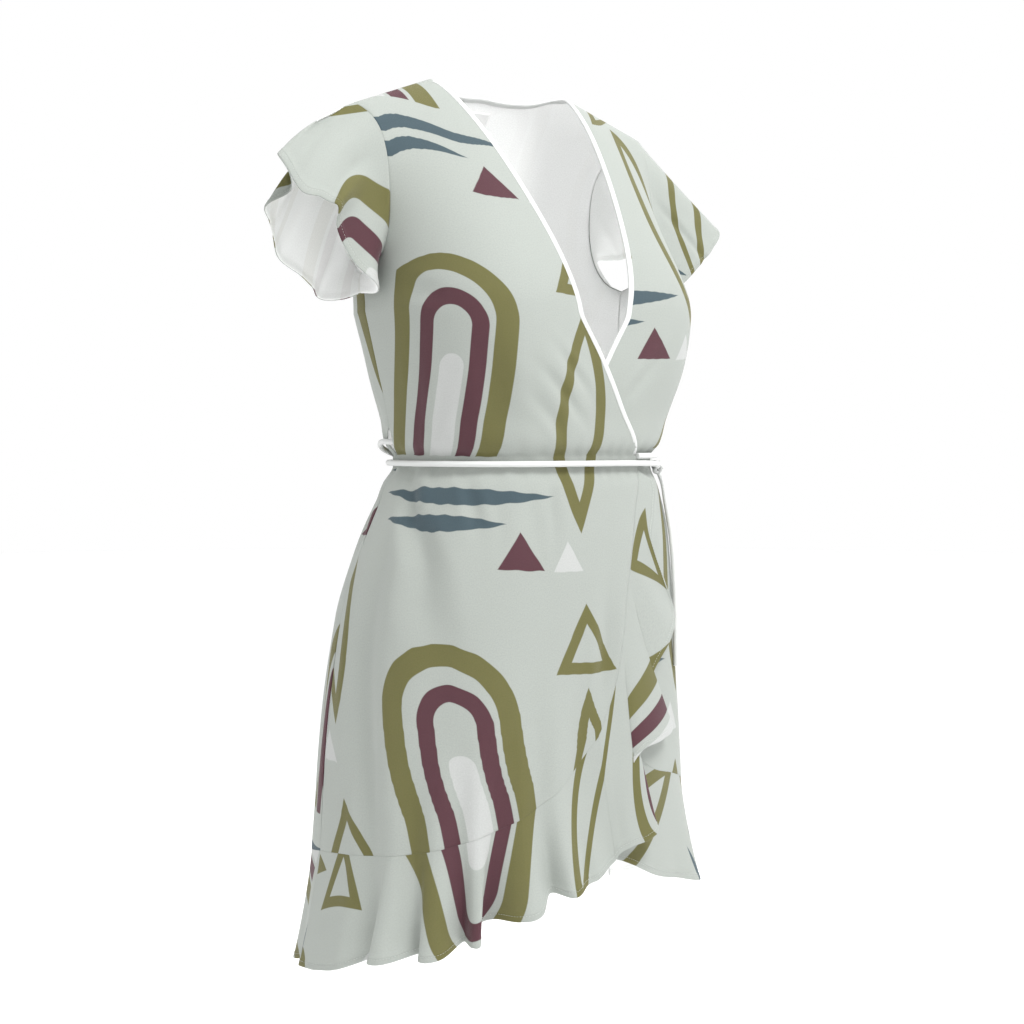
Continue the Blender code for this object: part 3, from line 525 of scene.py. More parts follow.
# %% A front's grid
def front_grid(seam):
    """Right front: points, and the angle, level, sideways place and yoke part of each."""
    grid = []
    facts = []
    shares = [c / ACROSS_FRONT for c in range(ACROSS_FRONT + 1)]
    turn = along(SECTIONS, SIDE, BUST_Z)
    for part in parts_with_seam(YOKE_STEPS, YOKE_LENGTH, True, False):
        side = -armhole(part, ARMHOLE_FRONT)
        edge = along(NECKLINE, 1, part)
        places = [side + (edge - side) * s for s in shares]
        grid.append([yoke_point(p, part, False) for p in places])
        facts.append([(p * turn, point.z, p, part) for p, point in zip(places, grid[-1])])
    for start, part in rows_below(FRONT_SKIRT):
        edge_level = start + (seam[0][1] - start) * part
        edge = angle_at(along(FRONT_EDGE, 1, edge_level), edge_level)
        facts.append([])
        for s in shares:
            foot = along(seam, 1, seam[-1][0] + (seam[0][0] - seam[-1][0]) * s)
            level = start + (foot - start) * part
            side = -along(SECTIONS, SIDE, level)
            angle = side + (edge - side) * s
            facts[-1].append((angle, level, -angle / side, 1.0))
        grid.append([body_point(*fact[:2]) for fact in facts[-1]])
    return grid, facts


print("flounce seam falls", round(1000 * (OVER_SEAM[0][1] - OVER_SEAM[-1][1])), "mm to the side")

# %% The back's grid
YOKE_SIDE = 89.0              # angle of the yoke's sides, for its creases
NECK_ROUND = 0.6
# part of the way from the centre back to the shoulder, share of the full dip
NECK_DIP = [(k / 4, max(1.0 - (k / 4)**2, 0.0) ** NECK_ROUND) for k in range(5)]


def turned(share, side):
    """Angle of a place of the back, from one side seam (share -1) to the other (share 1)."""
    return math.copysign(180.0 - abs(share) * (180.0 - side), share + 0.0)


def back_grid():
    """Back: columns run from the right side seam to the left one."""
    grid = []
    facts = []
    shares = [2.0 * c / ACROSS_BACK - 1.0 for c in range(ACROSS_BACK + 1)]
    dips = [along(NECK_DIP, 1, min(abs(share) / NECK_SHARE, 1.0)) for share in shares]
    for part in parts_with_seam(YOKE_STEPS, YOKE_LENGTH, True, False):
        places = [share * armhole(part, ARMHOLE_BACK) for share in shares]
        grid.append([yoke_point(place, BACK_NECK_PART * dip * (1.0 - part) + part, True)
                     for place, dip in zip(places, dips)])
        facts.append([(turned(place, YOKE_SIDE), point.z)
                      for place, point in zip(places, grid[-1])])
    for start, part in rows_below(BACK_SKIRT):
        facts.append([])
        for share in shares:
            foot = along(BACK_SEAM, 1, abs(turned(share, BACK_SEAM[0][0])))
            level = start + (foot - start) * part
            facts[-1].append((turned(share, along(SECTIONS, SIDE, level)), level))
        grid.append([body_point(*fact) for fact in facts[-1]])
    return grid, facts


print("back neck drops", BACK_NECK_PART, "of the yoke")

# %% [markdown]
# ## Seams and layers
# The two fronts are cut alike. The right one lies on top, so it is lifted by the thickness of a
# layer where they overlap, and the left one is pushed in. The left one is worked out as a right
# one and mirrored at the end, as a cutter turns the pattern over. At every seam the cloth is
# rolled in a little: a plain edge would be quicker, but would look like cut card.

# %% Layers and seams
LAYER = 0.0017                # how far a front is moved where the two overlap
LAYER_SIDE = 0.88             # sideways place where that begins, and the way over which it grows
LAYER_RISE = 0.33
LAYER_PART = 0.5              # part of the yoke over which it grows downwards
ROLL_DEPTH = 0.0003           # how far the cloth sinks at a seam
ROLL_WIDTH = 0.0014
SEAM_GAP = 0.0001             # between two pieces that are sewn together
LEAST_ROW = 0.03              # a shorter row has a narrower roll
UNDER_BINDING = 0.0022        # the cloth stops this far inside the finished neck edge
NECK_ROWS = 6                 # rows of the back that make room for that
NECK_SPAN = 3                 # columns over which the way in from a front's edge is measured
NEARLY = 0.0005               # how near a level has to be to count as reached
# level, half of the side seam's gap where a tie comes out, in mm
SLIT = metres(((-349, 1.5), (-357, 6.2), (-364, 8.8), (-371, 6.2), (-378, 0.2)))


def layer_share(place, part):
    """0 at the side seam and shoulder, 1 where the two fronts lie on each other."""
    share = ease(part / LAYER_PART)
    return share * ease((LAYER_SIDE - abs(place)) / LAYER_RISE) if place < 0 else share


def slit_half(level):
    """Half of the side seam's gap, opened where a tie comes out."""
    if SLIT[-1][0] < level < SLIT[0][0]:
        return max(along(SLIT, 1, level), SEAM_GAP / 2)
    return SEAM_GAP / 2


def cut_row(line, start, end, columns, roll_end):
    """The row cut short at both ends, with points closer together at its seams."""
    span = line_length(line) - start - end
    parts = parts_with_seam(columns, max(span, LEAST_ROW), True, roll_end)
    return spots(line, [start + span * p for p in parts])


def rolled(grid, way, seams):
    """Roll the cloth in at its sewn edges; way is +1 where the grid's normals face out."""
    def depth(r, c):
        steps = {"top": r, "foot": len(grid) - 1 - r, "start": c, "end": len(grid[0]) - 1 - c}
        away = [SEAM_STEPS[steps[seam]] for seam in seams if steps[seam] < len(SEAM_STEPS)]
        return -way * ROLL_DEPTH * math.exp(-(min(away) / ROLL_WIDTH) ** 2) if away else 0.0
    return lifted(grid, depth)


print("widest place of the slit", round(2000 * slit_half(SLIT[2][0]), 1), "mm")


# %% Fronts and back
def front_panel(seam, layer, creases, has_slit):
    """A right front as cut, with its finished neck edge and the ways in and out from it."""
    grid, facts = front_grid(seam)
    grid = lifted(grid, lambda r, c: layer * layer_share(*facts[r][c][2:])
                  + crease_at(creases, *facts[r][c][:2]))
    last = len(grid[0]) - 1
    neck = [(row[-1], (row[last - NECK_SPAN] - row[-1]).normalized(), outward(grid, r, last))
            for r, row in enumerate(grid) if facts[r][last][1] >= WAIST_Z - 2 * NEARLY]
    cut = []
    for r, row in enumerate(grid):
        start = slit_half(facts[r][0][1]) if has_slit and r > YOKE_STEPS else SEAM_GAP / 2
        end = UNDER_BINDING if r < len(neck) else 0.0
        cut.append(cut_row(row, start, end, ACROSS_FRONT, False))
    return rolled(cut, 1.0, ("start", "top", "foot")), neck


def back_panel():
    """The back as cut, with its finished neck edge and the ways in and out from it."""
    grid, facts = back_grid()
    grid = lifted(grid, lambda r, c: -crease_at(BACK_CREASES, *facts[r][c]))
    columns = [c for c in range(len(grid[0])) if abs(2.0 * c / ACROSS_BACK - 1.0) <= NECK_SHARE]
    neck = [(grid[0][c], (grid[NECK_ROWS][c] - grid[0][c]).normalized(), -outward(grid, 0, c))
            for c in columns]
    for c in columns:
        down = spots([row[c] for row in grid[:2 * NECK_ROWS]], [UNDER_BINDING])[0] - grid[0][c]
        for r in range(NECK_ROWS):
            grid[r][c] = grid[r][c] + down * (1.0 - r / NECK_ROWS)
    cut = []
    for r, row in enumerate(grid):
        start = slit_half(facts[r][0][1]) if r > YOKE_STEPS else SEAM_GAP / 2
        cut.append(cut_row(row, start, SEAM_GAP / 2, ACROSS_BACK, True))
    return rolled(cut, -1.0, ("start", "end", "top", "foot")), neck


def mirrored(grid):
    return [[Vector((-p.x, p.y, p.z)) for p in row] for row in grid]


right_front, right_neck = front_panel(OVER_SEAM, LAYER, RIGHT_CREASES, True)
# the front underneath also shows the creases of the one on top, on its other hand
under_creases = LEFT_CREASES + tuple((-a0, z0, -a1, *rest) for a0, z0, a1, *rest in RIGHT_CREASES)
left_as_right, left_neck = front_panel(UNDER_SEAM, -LAYER, under_creases, False)
left_front = mirrored(left_as_right)
back, back_neck = back_panel()
print("front", len(right_front), "x", len(right_front[0]), "points, back", len(back), "x",
      len(back[0]))

# %% [markdown]
# ## Flounces
# A circular flounce is cut as a ring, so its inner edge fits the seam and its outer edge is much
# longer and falls in folds. Cloth simulation would fold it anew at each run. Here the folds come
# from a short table: at a place along the seam, how far the hem swings sideways, how far it drops
# and how far it stands off. Where the swing goes back and forth, the cloth doubles over itself
# in a cascade, as it does down the front edge.

# %% Fold tables
# place along the seam from the waist end, sideways swing, drop, stand-off; in mm
CASCADE = metres((
    (0, 8, 4, 1), (20, 20, 14, 3), (45, 20, 24, 3), (60, 17, 30, 3), (88, 38, 48, 4), (103, 56, 66, 5),
    (116, 40, 78, 10), (126, 20, 105, 3), (135, 36, 124, 2), (144, 46, 137, 8), (160, 26, 132, 13),
    (176, 5, 124, 10), (189, 0, 133, 3), (202, 16, 150, 3), (216, 30, 162, 12), (234, 24, 154, 16),
    (254, 13, 140, 14), (276, 12, 127, 8), (300, 17, 118, 6), (326, 18, 110, 12), (346, 18, 100, 11),
    (363, 12, 96, 22), (383, 10, 84, 3), (396, 8, 92, 24), (412, 2, 90, 20), (424, -8, 86, 3),
    (436, -12, 88, 2), (446, 0, 97, 24), (455, 2, 96, 22), (470, 4, 92, 2), (488, 6, 98, 25),
    (504, 2, 98, 21), (514, 6, 94, 2), (536, 0, 98, 25), (548, -4, 98, 21), (561, 8, 93, 2),
    (598, 0, 109, 14), (633, 0, 114, 16),
))
UNDER_FOLDS = metres((
    (0, 10, 10, 0), (60, 20, 60, -5), (150, 20, 105, -8), (250, 10, 130, -8), (330, 4, 108, 1),
    (390, 2, 108, 4), (440, 4, 108, 18), (472, 0, 101, 4), (508, 2, 100, 21), (538, 0, 94, 4),
    (572, 2, 92, 18), (596, 0, 86, 5), (620, 0, 86, 12),
))
BACK_FOLDS = metres((
    (0, 0, 114, 16), (30, 0, 112, 4), (70, 2, 115, 14), (110, -2, 107, 2), (155, 3, 113, 28),
    (195, -3, 108, 3), (235, 2, 112, 24), (280, -2, 108, 2), (325, 3, 113, 28), (365, 0, 108, 3),
    (405, -2, 102, 25), (440, 0, 90, 4), (475, 0, 86, 12),
))
print("folds:", len(CASCADE) + len(UNDER_FOLDS) + len(BACK_FOLDS), "places")

# %% [markdown]
# ## Hems
# The hem is turned under twice and stitched about 5 mm above its edge. It could be a strip of its
# own, but here the rows near the hem are close together, so that the turning can be thicker than
# the cloth above it and the line of stitches can sink in.

# %% Flounce grids
FLARE = 1.35                  # folds open late, towards the hem
FLOUNCE_START = 0.0175
UNDER_START = 0.0280
FLOUNCE_ROWS = 22
HEM_STEPS = (0.0078, 0.0068, 0.0058, 0.0050, 0.0042, 0.0030, 0.0015, 0.0005, 0.0)
STITCH_LINE = 0.0050
NEAR = 3                      # points to each side that give the seam's own way
SHORT_FALL = 0.022            # a shorter fall has a narrower hem


def hem_parts(length, rows):
    """Rising parts from seam to hem for a fall of this length, with the rows of the hem."""
    scale = min(1.0, length / SHORT_FALL)
    near = [d * scale / length for d in HEM_STEPS]
    seam = [d * scale / length for d in SEAM_STEPS]
    top = 1.0 - near[0]
    between = [seam[-1] + (top - seam[-1]) * k / rows for k in range(1, rows)]
    return seam + between + [1.0 - n for n in near]


def flounce_grid(line, count, start, end, folds, side):
    """Rows from the seam to the hem; side is +1 where a swing goes to the wearer's left."""
    span = line_length(line) - start - end
    places = [start + span * k / count for k in range(count + 1)]
    seam = spots(line, places)
    columns = []
    for number, (place, edge_point) in enumerate(zip(places, seam)):
        onward = seam[min(number + NEAR, count)] - seam[max(number - NEAR, 0)]
        centre = along(SECTIONS, CENTRE, edge_point.z)
        facing = Vector((edge_point.x, edge_point.y - centre, 0.0))
        seam_point = edge_point + facing.cross(onward).normalized() * SEAM_GAP
        angle = math.degrees(math.atan2(seam_point.x, centre - seam_point.y))
        swing, drop, out = (along(folds, k, place) for k in (1, 2, 3))
        base = body_point(angle, seam_point.z)
        turn = side * math.degrees(swing / math.hypot(base.x, base.y - centre))

        def at(t):
            goal = body_point(angle + turn * t, seam_point.z - drop * t, out * t**FLARE)
            return seam_point + (goal - base)

        length = (at(1.0) - seam_point).length
        columns.append([at(t) for t in hem_parts(length, FLOUNCE_ROWS)])
    return [list(row) for row in zip(*columns)]


def lower_edge(grid):
    """The front edge below the waist and the flounce seam, from the waist end to the side."""
    return [row[-1] for row in grid if row[-1].z <= WAIST_Z + NEARLY] + grid[-1][-2::-1]


over_flounce = flounce_grid(lower_edge(right_front), 620, FLOUNCE_START, SEAM_GAP, CASCADE, 1)
under_flounce = mirrored(
    flounce_grid(lower_edge(left_as_right), 320, UNDER_START, SEAM_GAP, UNDER_FOLDS, 1))
back_flounce = flounce_grid(back[-1], 300, SEAM_GAP, SEAM_GAP, BACK_FOLDS, -1)
for name, grid in (("right", over_flounce), ("left", under_flounce), ("back", back_flounce)):
    print(name, "flounce: seam", round(line_length(grid[0]), 3),
          "hem", round(line_length(grid[-1]), 3))

# %% [markdown]
# ## Flutter sleeves
# A flutter sleeve is a short circular piece set into the armhole all round. It stands up off the
# cap of the shoulder and then falls open. A lattice could bend a flat ring into place, but the
# edges matter most, so each thread from the armhole to the hem is a Bezier curve: over the
# shoulder it leaves along the bodice, and under the arm, where nothing holds it up, it turns down
# at once and hangs. The hem is a short table round the armhole, from the underarm up the front,
# over the top and down the back, where it doubles back in one fold.

# %% Sleeve hems
# thousandths of the way round, then x, y and z of the hem in mm
RIGHT_HEM = metres((
    (0, -184, -14, -219), (50, -184, -40, -220), (90, -193, -54, -214), (170, -215, -47, -193),
    (250, -235, -49, -163), (310, -243, -62, -143), (360, -255, -53, -136), (420, -274, -47, -131),
    (470, -278, -31, -109), (510, -280, -18, -96), (530, -258, -4, -110), (548, -250, 8, -124),
    (575, -275.3, 12, -140), (598, -262, 26, -152), (630, -263, 18, -168), (700, -250, 28, -187),
    (780, -231, 15, -205), (860, -212, 16, -224), (930, -198, -2, -225), (1000, -184, -14, -219),
))
LEFT_HEM = metres((
    (0, -181, -4, -213), (90, -196, -45, -208), (170, -222, -50, -189), (250, -240, -51, -173),
    (310, -252, -52, -162), (360, -263, -50, -152), (420, -279, -45, -132), (470, -270, -31, -118),
    (510, -262, -18, -112), (570, -262, 10, -130), (630, -248, 32, -146), (700, -228, 48, -156),
    (780, -208, 56, -160), (860, -184, 52, -165), (930, -183, 25, -195), (1000, -181, -4, -213),
))
# part of the way round, half width as such a part, depth
RIGHT_VALLEYS = ((0.335, 0.020, 0.0036), (0.455, 0.014, 0.0018), (0.82, 0.022, 0.0030))
LEFT_VALLEYS = ((0.30, 0.018, 0.0026), (0.50, 0.020, 0.0024), (0.74, 0.022, 0.0030))
HEM_FALL = Vector((0.0, 0.0, -0.35))
UNDERARM_PART = 0.40          # part of the armhole's height where its under side begins
UNDERARM_HANG = Vector((0.0, -0.25, -1.0))
UNDERARM_OUT = 0.5
UNDERARM_LIFT = 0.0026
FULL_BULGE = 0.33             # length of a curve's handles, as a share of the fall
RIGHT_BULGE = 0.45            # the same over the cap of the shoulder
LEFT_BULGE = 0.0
CAP_PART = 0.45               # how far round the cap lies
CAP_SPREAD = 0.15
EDGE_SPAN = 6                 # columns over which the way out of the armhole is measured
VALLEY_START = 0.10
VALLEY_GROWS = 0.40
SLEEVE_ROWS = 20
ROUND_SLEEVE = 210
print("sleeve hems:", len(RIGHT_HEM), "and", len(LEFT_HEM), "places")

# %% Sleeve grids
def armhole_loop(front, rear):
    """Rows of numbers from the underarm up the front and down the back: a point of the armhole,
    the ways on and out from it, and how far under the arm it lies."""
    loop = []
    foot = int(YOKE_STEPS * ARMHOLE_FOOT + len(SEAM_STEPS) - 1)
    for grid, facing in ((front, 1), (rear, -1)):
        rows = [r for r in range(len(grid)) if grid[r][0].z >= grid[foot][0].z - NEARLY]
        for r in rows[::-facing]:
            onward = (grid[r][0] - grid[r][EDGE_SPAN]).normalized()
            under = ease((r / rows[-1] - UNDERARM_PART) / (1.0 - UNDERARM_PART))
            loop.append((*grid[r][0], *onward, *(outward(grid, r, 1) * facing), under))
    return loop + [loop[0]]


def sleeve_grid(front, rear, hems, bulge):
    """Rows from the armhole to the hem of the right sleeve, columns all the way round."""
    loop = armhole_loop(front, rear)
    passed = runs([Vector(knot[:3]) for knot in loop])
    rows = [(distance / passed[-1], *knot) for distance, knot in zip(passed, loop)]
    columns = []
    for k in range(ROUND_SLEEVE):
        part = k / ROUND_SLEEVE
        *facts, under = mix(rows, part)
        seam_point = Vector(facts[0:3])
        onward = Vector(facts[3:6]).normalized()
        normal = Vector(facts[6:9]).normalized()
        top = math.exp(-((part - CAP_PART) / CAP_SPREAD) ** 2)
        stand = FULL_BULGE + (bulge - FULL_BULGE) * top
        hem = Vector([along(hems, c, part) for c in (1, 2, 3)])
        start = seam_point + onward * SEAM_GAP + normal * UNDERARM_LIFT * ease(2.0 * under)
        hang = normal * UNDERARM_OUT + UNDERARM_HANG
        leave = (onward * (1.0 - under) + hang * under).normalized()
        reach = (hem - start).length
        arrive = ((hem - start).normalized() + HEM_FALL).normalized()
        near = start + leave * reach * stand
        far = hem - arrive * reach * stand
        columns.append([start * (1 - t)**3 + near * 3 * t * (1 - t)**2 + far * 3 * t * t * (1 - t)
                        + hem * t**3 for t in hem_parts(reach, SLEEVE_ROWS)])
        columns[-1][0] = seam_point + onward * SEAM_GAP
    columns.append([p.copy() for p in columns[0]])
    return [list(row) for row in zip(*columns)]


def pressed(grid, valleys):
    """A sleeve with soft valleys that run down to its hem."""
    def depth(r, c):
        fade = ease((r / (len(grid) - 1) - VALLEY_START) / VALLEY_GROWS)
        return fade * sum(deep * math.exp(-((c / ROUND_SLEEVE - part) / wide) ** 2)
                          for part, wide, deep in valleys)
    return lifted(grid, depth)


right_sleeve = pressed(sleeve_grid(right_front, back, RIGHT_HEM, RIGHT_BULGE), RIGHT_VALLEYS)
left_sleeve = mirrored(
    pressed(sleeve_grid(left_as_right, back, LEFT_HEM, LEFT_BULGE), LEFT_VALLEYS))
print("sleeve: armhole", round(line_length(right_sleeve[0]), 3), "hem",
      round(line_length(right_sleeve[-1]), 3))

# %% [markdown]
# ## Flat places for the print
# Printed cloth carries its pattern as it lies flat on the cutting table. An unwrap could find
# such a layout, but a grid of points already knows it: the length along a row and down a column,
# in metres, is the place on the flat piece. A flounce and a sleeve are cut as rings, so for them
# the same two lengths are bent round a circle.

# %% Flat layouts
FALL_STEP = 9                 # columns from one measured fall of a ring to the next
LEAST_FLARE = 0.25            # a hem that is hardly longer than its seam counts as this much


def columns_up(grid, from_row):
    """For each column, how far up the cloth each of its points lies from one row."""
    return [[run[from_row] - passed for passed in run] for run in map(runs, zip(*grid))]


def flat_panel(grid, shift, way=1.0):
    """Flat places of a panel: lengths from the middle of the body, and up from the waist."""
    up = columns_up(grid, min(range(len(grid)), key=lambda r: abs(grid[r][0].z - WAIST_Z)))
    flat = []
    for r, row in enumerate(grid):
        passed = runs(row)
        crossing = min(range(len(row)), key=lambda c: abs(row[c].x))
        middle = passed[crossing] - row[crossing].x * (1.0 if row[-1].x > row[0].x else -1.0)
        flat.append([((across - middle) * way + shift[0], up[c][r] + shift[1])
                     for c, across in enumerate(passed)])
    return flat


def flat_ring(grid, shift, turn=0.0):
    """Flat places of a piece cut as a ring."""
    falls = [line_length(column) for column in list(zip(*grid))[::FALL_STEP]]
    flare = line_length(grid[-1]) / line_length(grid[0]) - 1.0
    inner = sum(falls) / len(falls) / max(flare, LEAST_FLARE)
    flat = []
    for passed, column in zip(runs(grid[0]), columns_up(grid, 0)):
        angle = turn + passed / inner
        flat.append([((inner - up) * math.sin(angle) + shift[0],
                      (up - inner) * math.cos(angle) + shift[1]) for up in column])
    return list(zip(*flat))


flats = {
    "front_right": flat_panel(right_front, (0.262, 0.126)),
    "front_left": flat_panel(left_front, (0.10, 0.30), -1.0),
    "back": flat_panel(back, (0.35, 0.10)),
    "flounce_front_right": flat_ring(over_flounce, (0.10, 0.05), 0.4),
    "flounce_front_left": flat_ring(under_flounce, (0.22, 0.33)),
    "flounce_back": flat_ring(back_flounce, (0.0, 0.12), 1.1),
    "sleeve_right": flat_ring(right_sleeve, (0.05, 0.21), 2.0),
    "sleeve_left": flat_ring(left_sleeve, (0.18, 0.02), 0.9),
}
print("laid flat:", ", ".join(flats))

# %% [markdown]
# ## The print
# The cloth has a hand-cut print in olive, plum, teal and white on sage: arches inside each other,
# leaves in outline and filled, and triangles. A picture could carry it, but shapes described by
# their distance from a centre stay sharp at any size. A circle is where the distance is less than
# its radius, an arch is a circle on two legs, a leaf is where two circles overlap. The shapes
# repeat in a half-drop, every second column half a repeat lower, as printed cloth often does, and
# a little noise makes their edges look cut by hand.

# %% Tools for a pattern
EDGE_SOFT = 0.0007
FINE = 3.0                    # detail of the noise in cloth


class Pattern:
    """Short names for the nodes that a pattern is worked out with."""

    def __init__(self, tree):
        self.tree = tree

    def feed(self, socket, value):
        if isinstance(value, bpy.types.NodeSocket):
            self.tree.links.new(value, socket)
        else:
            socket.default_value = value

    def node(self, kind, *values, **settings):
        """A new node with its settings, and its first inputs fed."""
        made = self.tree.nodes.new("ShaderNode" + kind)
        for setting, value in settings.items():
            setattr(made, setting, value)
        for socket, value in zip(made.inputs, values):
            self.feed(socket, value)
        return made

    def sum(self, operation, *values, clamp=False):
        return self.node("Math", *values, operation=operation, use_clamp=clamp).outputs[0]

    def vector(self, operation, *values):
        made = self.node("VectorMath", *values, operation=operation)
        return made.outputs["Value" if operation == "LENGTH" else "Vector"]

    def noise(self, vector, scale, detail=2.0, colour=False):
        made = self.node("TexNoise", vector)
        made.inputs["Scale"].default_value = scale
        made.inputs["Detail"].default_value = detail
        return made.outputs["Color" if colour else "Fac"]

    def inside(self, distance):
        """1 where a signed distance is negative, with a soft edge."""
        return self.sum("MULTIPLY_ADD", distance, -1.0 / EDGE_SOFT, 0.5, clamp=True)

    def mix(self, share, first, second):
        made = self.node("Mix", data_type="RGBA")
        self.feed(made.inputs["Factor"], share)
        for socket, colour in (("A", first), ("B", second)):
            self.feed(made.inputs[socket], (*colour, 1.0) if isinstance(colour, tuple) else colour)
        return made.outputs["Result"]

    def mottled(self, colour, vector, scale, share):
        """The colour, lighter or darker from place to place by up to half the share."""
        shade = self.sum("MULTIPLY_ADD", self.noise(vector, scale, FINE), share, 1.0 - share / 2)
        made = self.node("VectorMath", colour, operation="SCALE")
        self.feed(made.inputs["Scale"], shade)
        return made.outputs[0]


print("edges of the print are", 1000 * EDGE_SOFT, "mm soft")


# %% Shapes of the print
def from_centre(pattern, place, centre):
    return pattern.vector("SUBTRACT", place, (*centre, 0.0))


def disc(pattern, place, centre, radius):
    away = pattern.vector("LENGTH", from_centre(pattern, place, centre))
    return pattern.sum("SUBTRACT", away, radius)


def outlined(pattern, edge, line):
    """Only the outline of a shape, of the given width, or all of it if none is given."""
    if line is None:
        return edge
    middle = pattern.sum("ABSOLUTE", pattern.sum("ADD", edge, line / 2))
    return pattern.sum("SUBTRACT", middle, line / 2)


def arch(pattern, place, centre, radius, legs, line=None):
    """A round-topped arch on legs."""
    x, y, _ = pattern.node("SeparateXYZ", from_centre(pattern, place, centre)).outputs
    over = pattern.node("CombineXYZ", x, pattern.sum("MAXIMUM", y, 0.0)).outputs[0]
    edge = pattern.sum("SUBTRACT", pattern.vector("LENGTH", over), radius)
    edge = outlined(pattern, edge, line)
    return pattern.sum("MAXIMUM", edge, pattern.sum("SUBTRACT", -legs, y))


def leaf(pattern, place, centre, wide, high, line=None):
    """A pointed oval, upright or lying."""
    short, tall = sorted((wide, high))
    radius = (tall**2 / 4 + short**2 / 4) / short
    aside = radius - short / 2
    step = Vector((aside, 0.0) if high >= wide else (0.0, aside))
    one, other = (disc(pattern, place, Vector(centre) + step * way, radius) for way in (1, -1))
    return outlined(pattern, pattern.sum("MAXIMUM", one, other), line)


def triangle(pattern, place, centre, wide, high):
    """A triangle on its base, which lies at the centre's height."""
    x, y, _ = pattern.node("SeparateXYZ", from_centre(pattern, place, centre)).outputs
    slope = math.atan2(wide / 2, high)
    side = pattern.sum("MULTIPLY", pattern.sum("ABSOLUTE", x), math.cos(slope))
    side = pattern.sum("MULTIPLY_ADD", y, math.sin(slope), side)
    side = pattern.sum("SUBTRACT", side, high * math.sin(slope))
    return pattern.sum("MAXIMUM", side, pattern.sum("MULTIPLY", y, -1.0))


print("shapes:", ", ".join(shape.__name__ for shape in (arch, leaf, triangle)))

# %% Motifs
SAGE = (0.330, 0.352, 0.328)
OLIVE = (0.121, 0.115, 0.041)
PLUM = (0.077, 0.030, 0.038)
TEAL = (0.052, 0.079, 0.093)
PRINT_WHITE = (0.43, 0.44, 0.43)
# shape, colour, centre in the repeat, sizes
MOTIFS = (
    (arch, OLIVE, (-0.066, 0.070), (0.068, 0.145, 0.0215)),
    (arch, PLUM, (-0.062, 0.062), (0.037, 0.137, 0.0165)),
    (arch, PRINT_WHITE, (-0.060, 0.020), (0.0135, 0.095)),
    (leaf, OLIVE, (0.083, -0.030), (0.060, 0.250, 0.0125)),
    (leaf, TEAL, (-0.044, -0.118), (0.196, 0.0175)),
    (leaf, TEAL, (-0.066, -0.145), (0.138, 0.0165)),
    (triangle, OLIVE, (0.086, 0.108), (0.082, 0.068)),
    (triangle, SAGE, (0.086, 0.119), (0.044, 0.037)),
    (triangle, PLUM, (0.016, -0.190), (0.046, 0.038)),
    (triangle, PRINT_WHITE, (0.066, -0.192), (0.034, 0.030)),
)
print("motifs in the repeat:", len(MOTIFS))

# %% The print as a node group
REPEAT_WIDE = 0.30
REPEAT_HIGH = 0.40
WOBBLE = 0.0042               # how far noise moves the edges of the shapes
WOBBLE_SCALE = 13.0


def centred(pattern, turns, size):
    """Distance from the middle of a repeat of this size."""
    return pattern.sum("MULTIPLY", pattern.sum("SUBTRACT", turns, 0.5), size)


def make_print():
    """A group whose colour is the print at the cloth's flat place."""
    group = bpy.data.node_groups.new("hand_cut_print", "ShaderNodeTree")
    group.interface.new_socket("Color", in_out="OUTPUT", socket_type="NodeSocketColor")
    out = group.nodes.new("NodeGroupOutput")
    pattern = Pattern(group)
    flat = pattern.node("UVMap", uv_map="flat_cut").outputs[0]
    wobble = pattern.noise(flat, WOBBLE_SCALE, 0.0, True)
    wobble = pattern.vector("SUBTRACT", wobble, (0.5, 0.5, 0.5))
    wobble = pattern.vector("MULTIPLY", wobble, (WOBBLE, WOBBLE, 0.0))
    u, v, _ = pattern.node("SeparateXYZ", pattern.vector("ADD", flat, wobble)).outputs
    across = pattern.sum("DIVIDE", u, REPEAT_WIDE)
    second = pattern.sum("FLOORED_MODULO", pattern.sum("FLOOR", across), 2.0)
    down = pattern.sum("ADD", pattern.sum("DIVIDE", v, REPEAT_HIGH),
                       pattern.sum("MULTIPLY", second, 0.5))
    x = centred(pattern, pattern.sum("FRACT", across), REPEAT_WIDE)
    y = centred(pattern, pattern.sum("FLOORED_MODULO", down, 1.0), REPEAT_HIGH)
    spot = pattern.node("CombineXYZ", x, y).outputs[0]
    colour = SAGE
    for shape, ink, centre, sizes in MOTIFS:
        colour = pattern.mix(pattern.inside(shape(pattern, spot, centre, *sizes)), colour, ink)
    group.links.new(colour, out.inputs[0])
    return group


hand_cut_print = make_print()
print("nodes in the print:", len(hand_cut_print.nodes))

# %% [markdown]
# ## Cloth
# The cloth is a fine matt plain weave. Its threads are far too small to model, so two crossing
# waves in the bump show them, and a faint noise varies the colour as slubs do. Light soaks into
# thin cloth and comes out on the other side, and a little subsurface scattering stands for that.
# The wrong side is white, with a faint trace of the print in it. On the sleeves more of the print is
# painted into that colour: painted light, for daylight that falls through the thin sleeves.

# %% Weave
THREAD = 0.00055              # distance between threads
WEAVE_STRENGTH = 0.20
WEAVE_HEIGHT = 0.00035
UNEVENNESS = ((900.0, 1.6), (60.0, 2.2))      # scale and share of slubs, then of rumples
SOAK = (0.004, 0.004, 0.004)


def new_material(name, looks):
    """A material whose main shader has these values in its sockets."""
    made = bpy.data.materials.new(name)
    made.use_nodes = True
    shader = made.node_tree.nodes["Principled BSDF"]
    for socket, value in looks.items():
        shader.inputs[socket].default_value = value
    return made, shader


def cloth_material(name, roughness, sheen, soak):
    return new_material(name, {
        "Roughness": roughness, "Specular IOR Level": 0.25, "Sheen Weight": sheen,
        "Sheen Roughness": 0.5, "Subsurface Weight": soak, "Subsurface Radius": SOAK,
        "Subsurface Scale": 1.0})


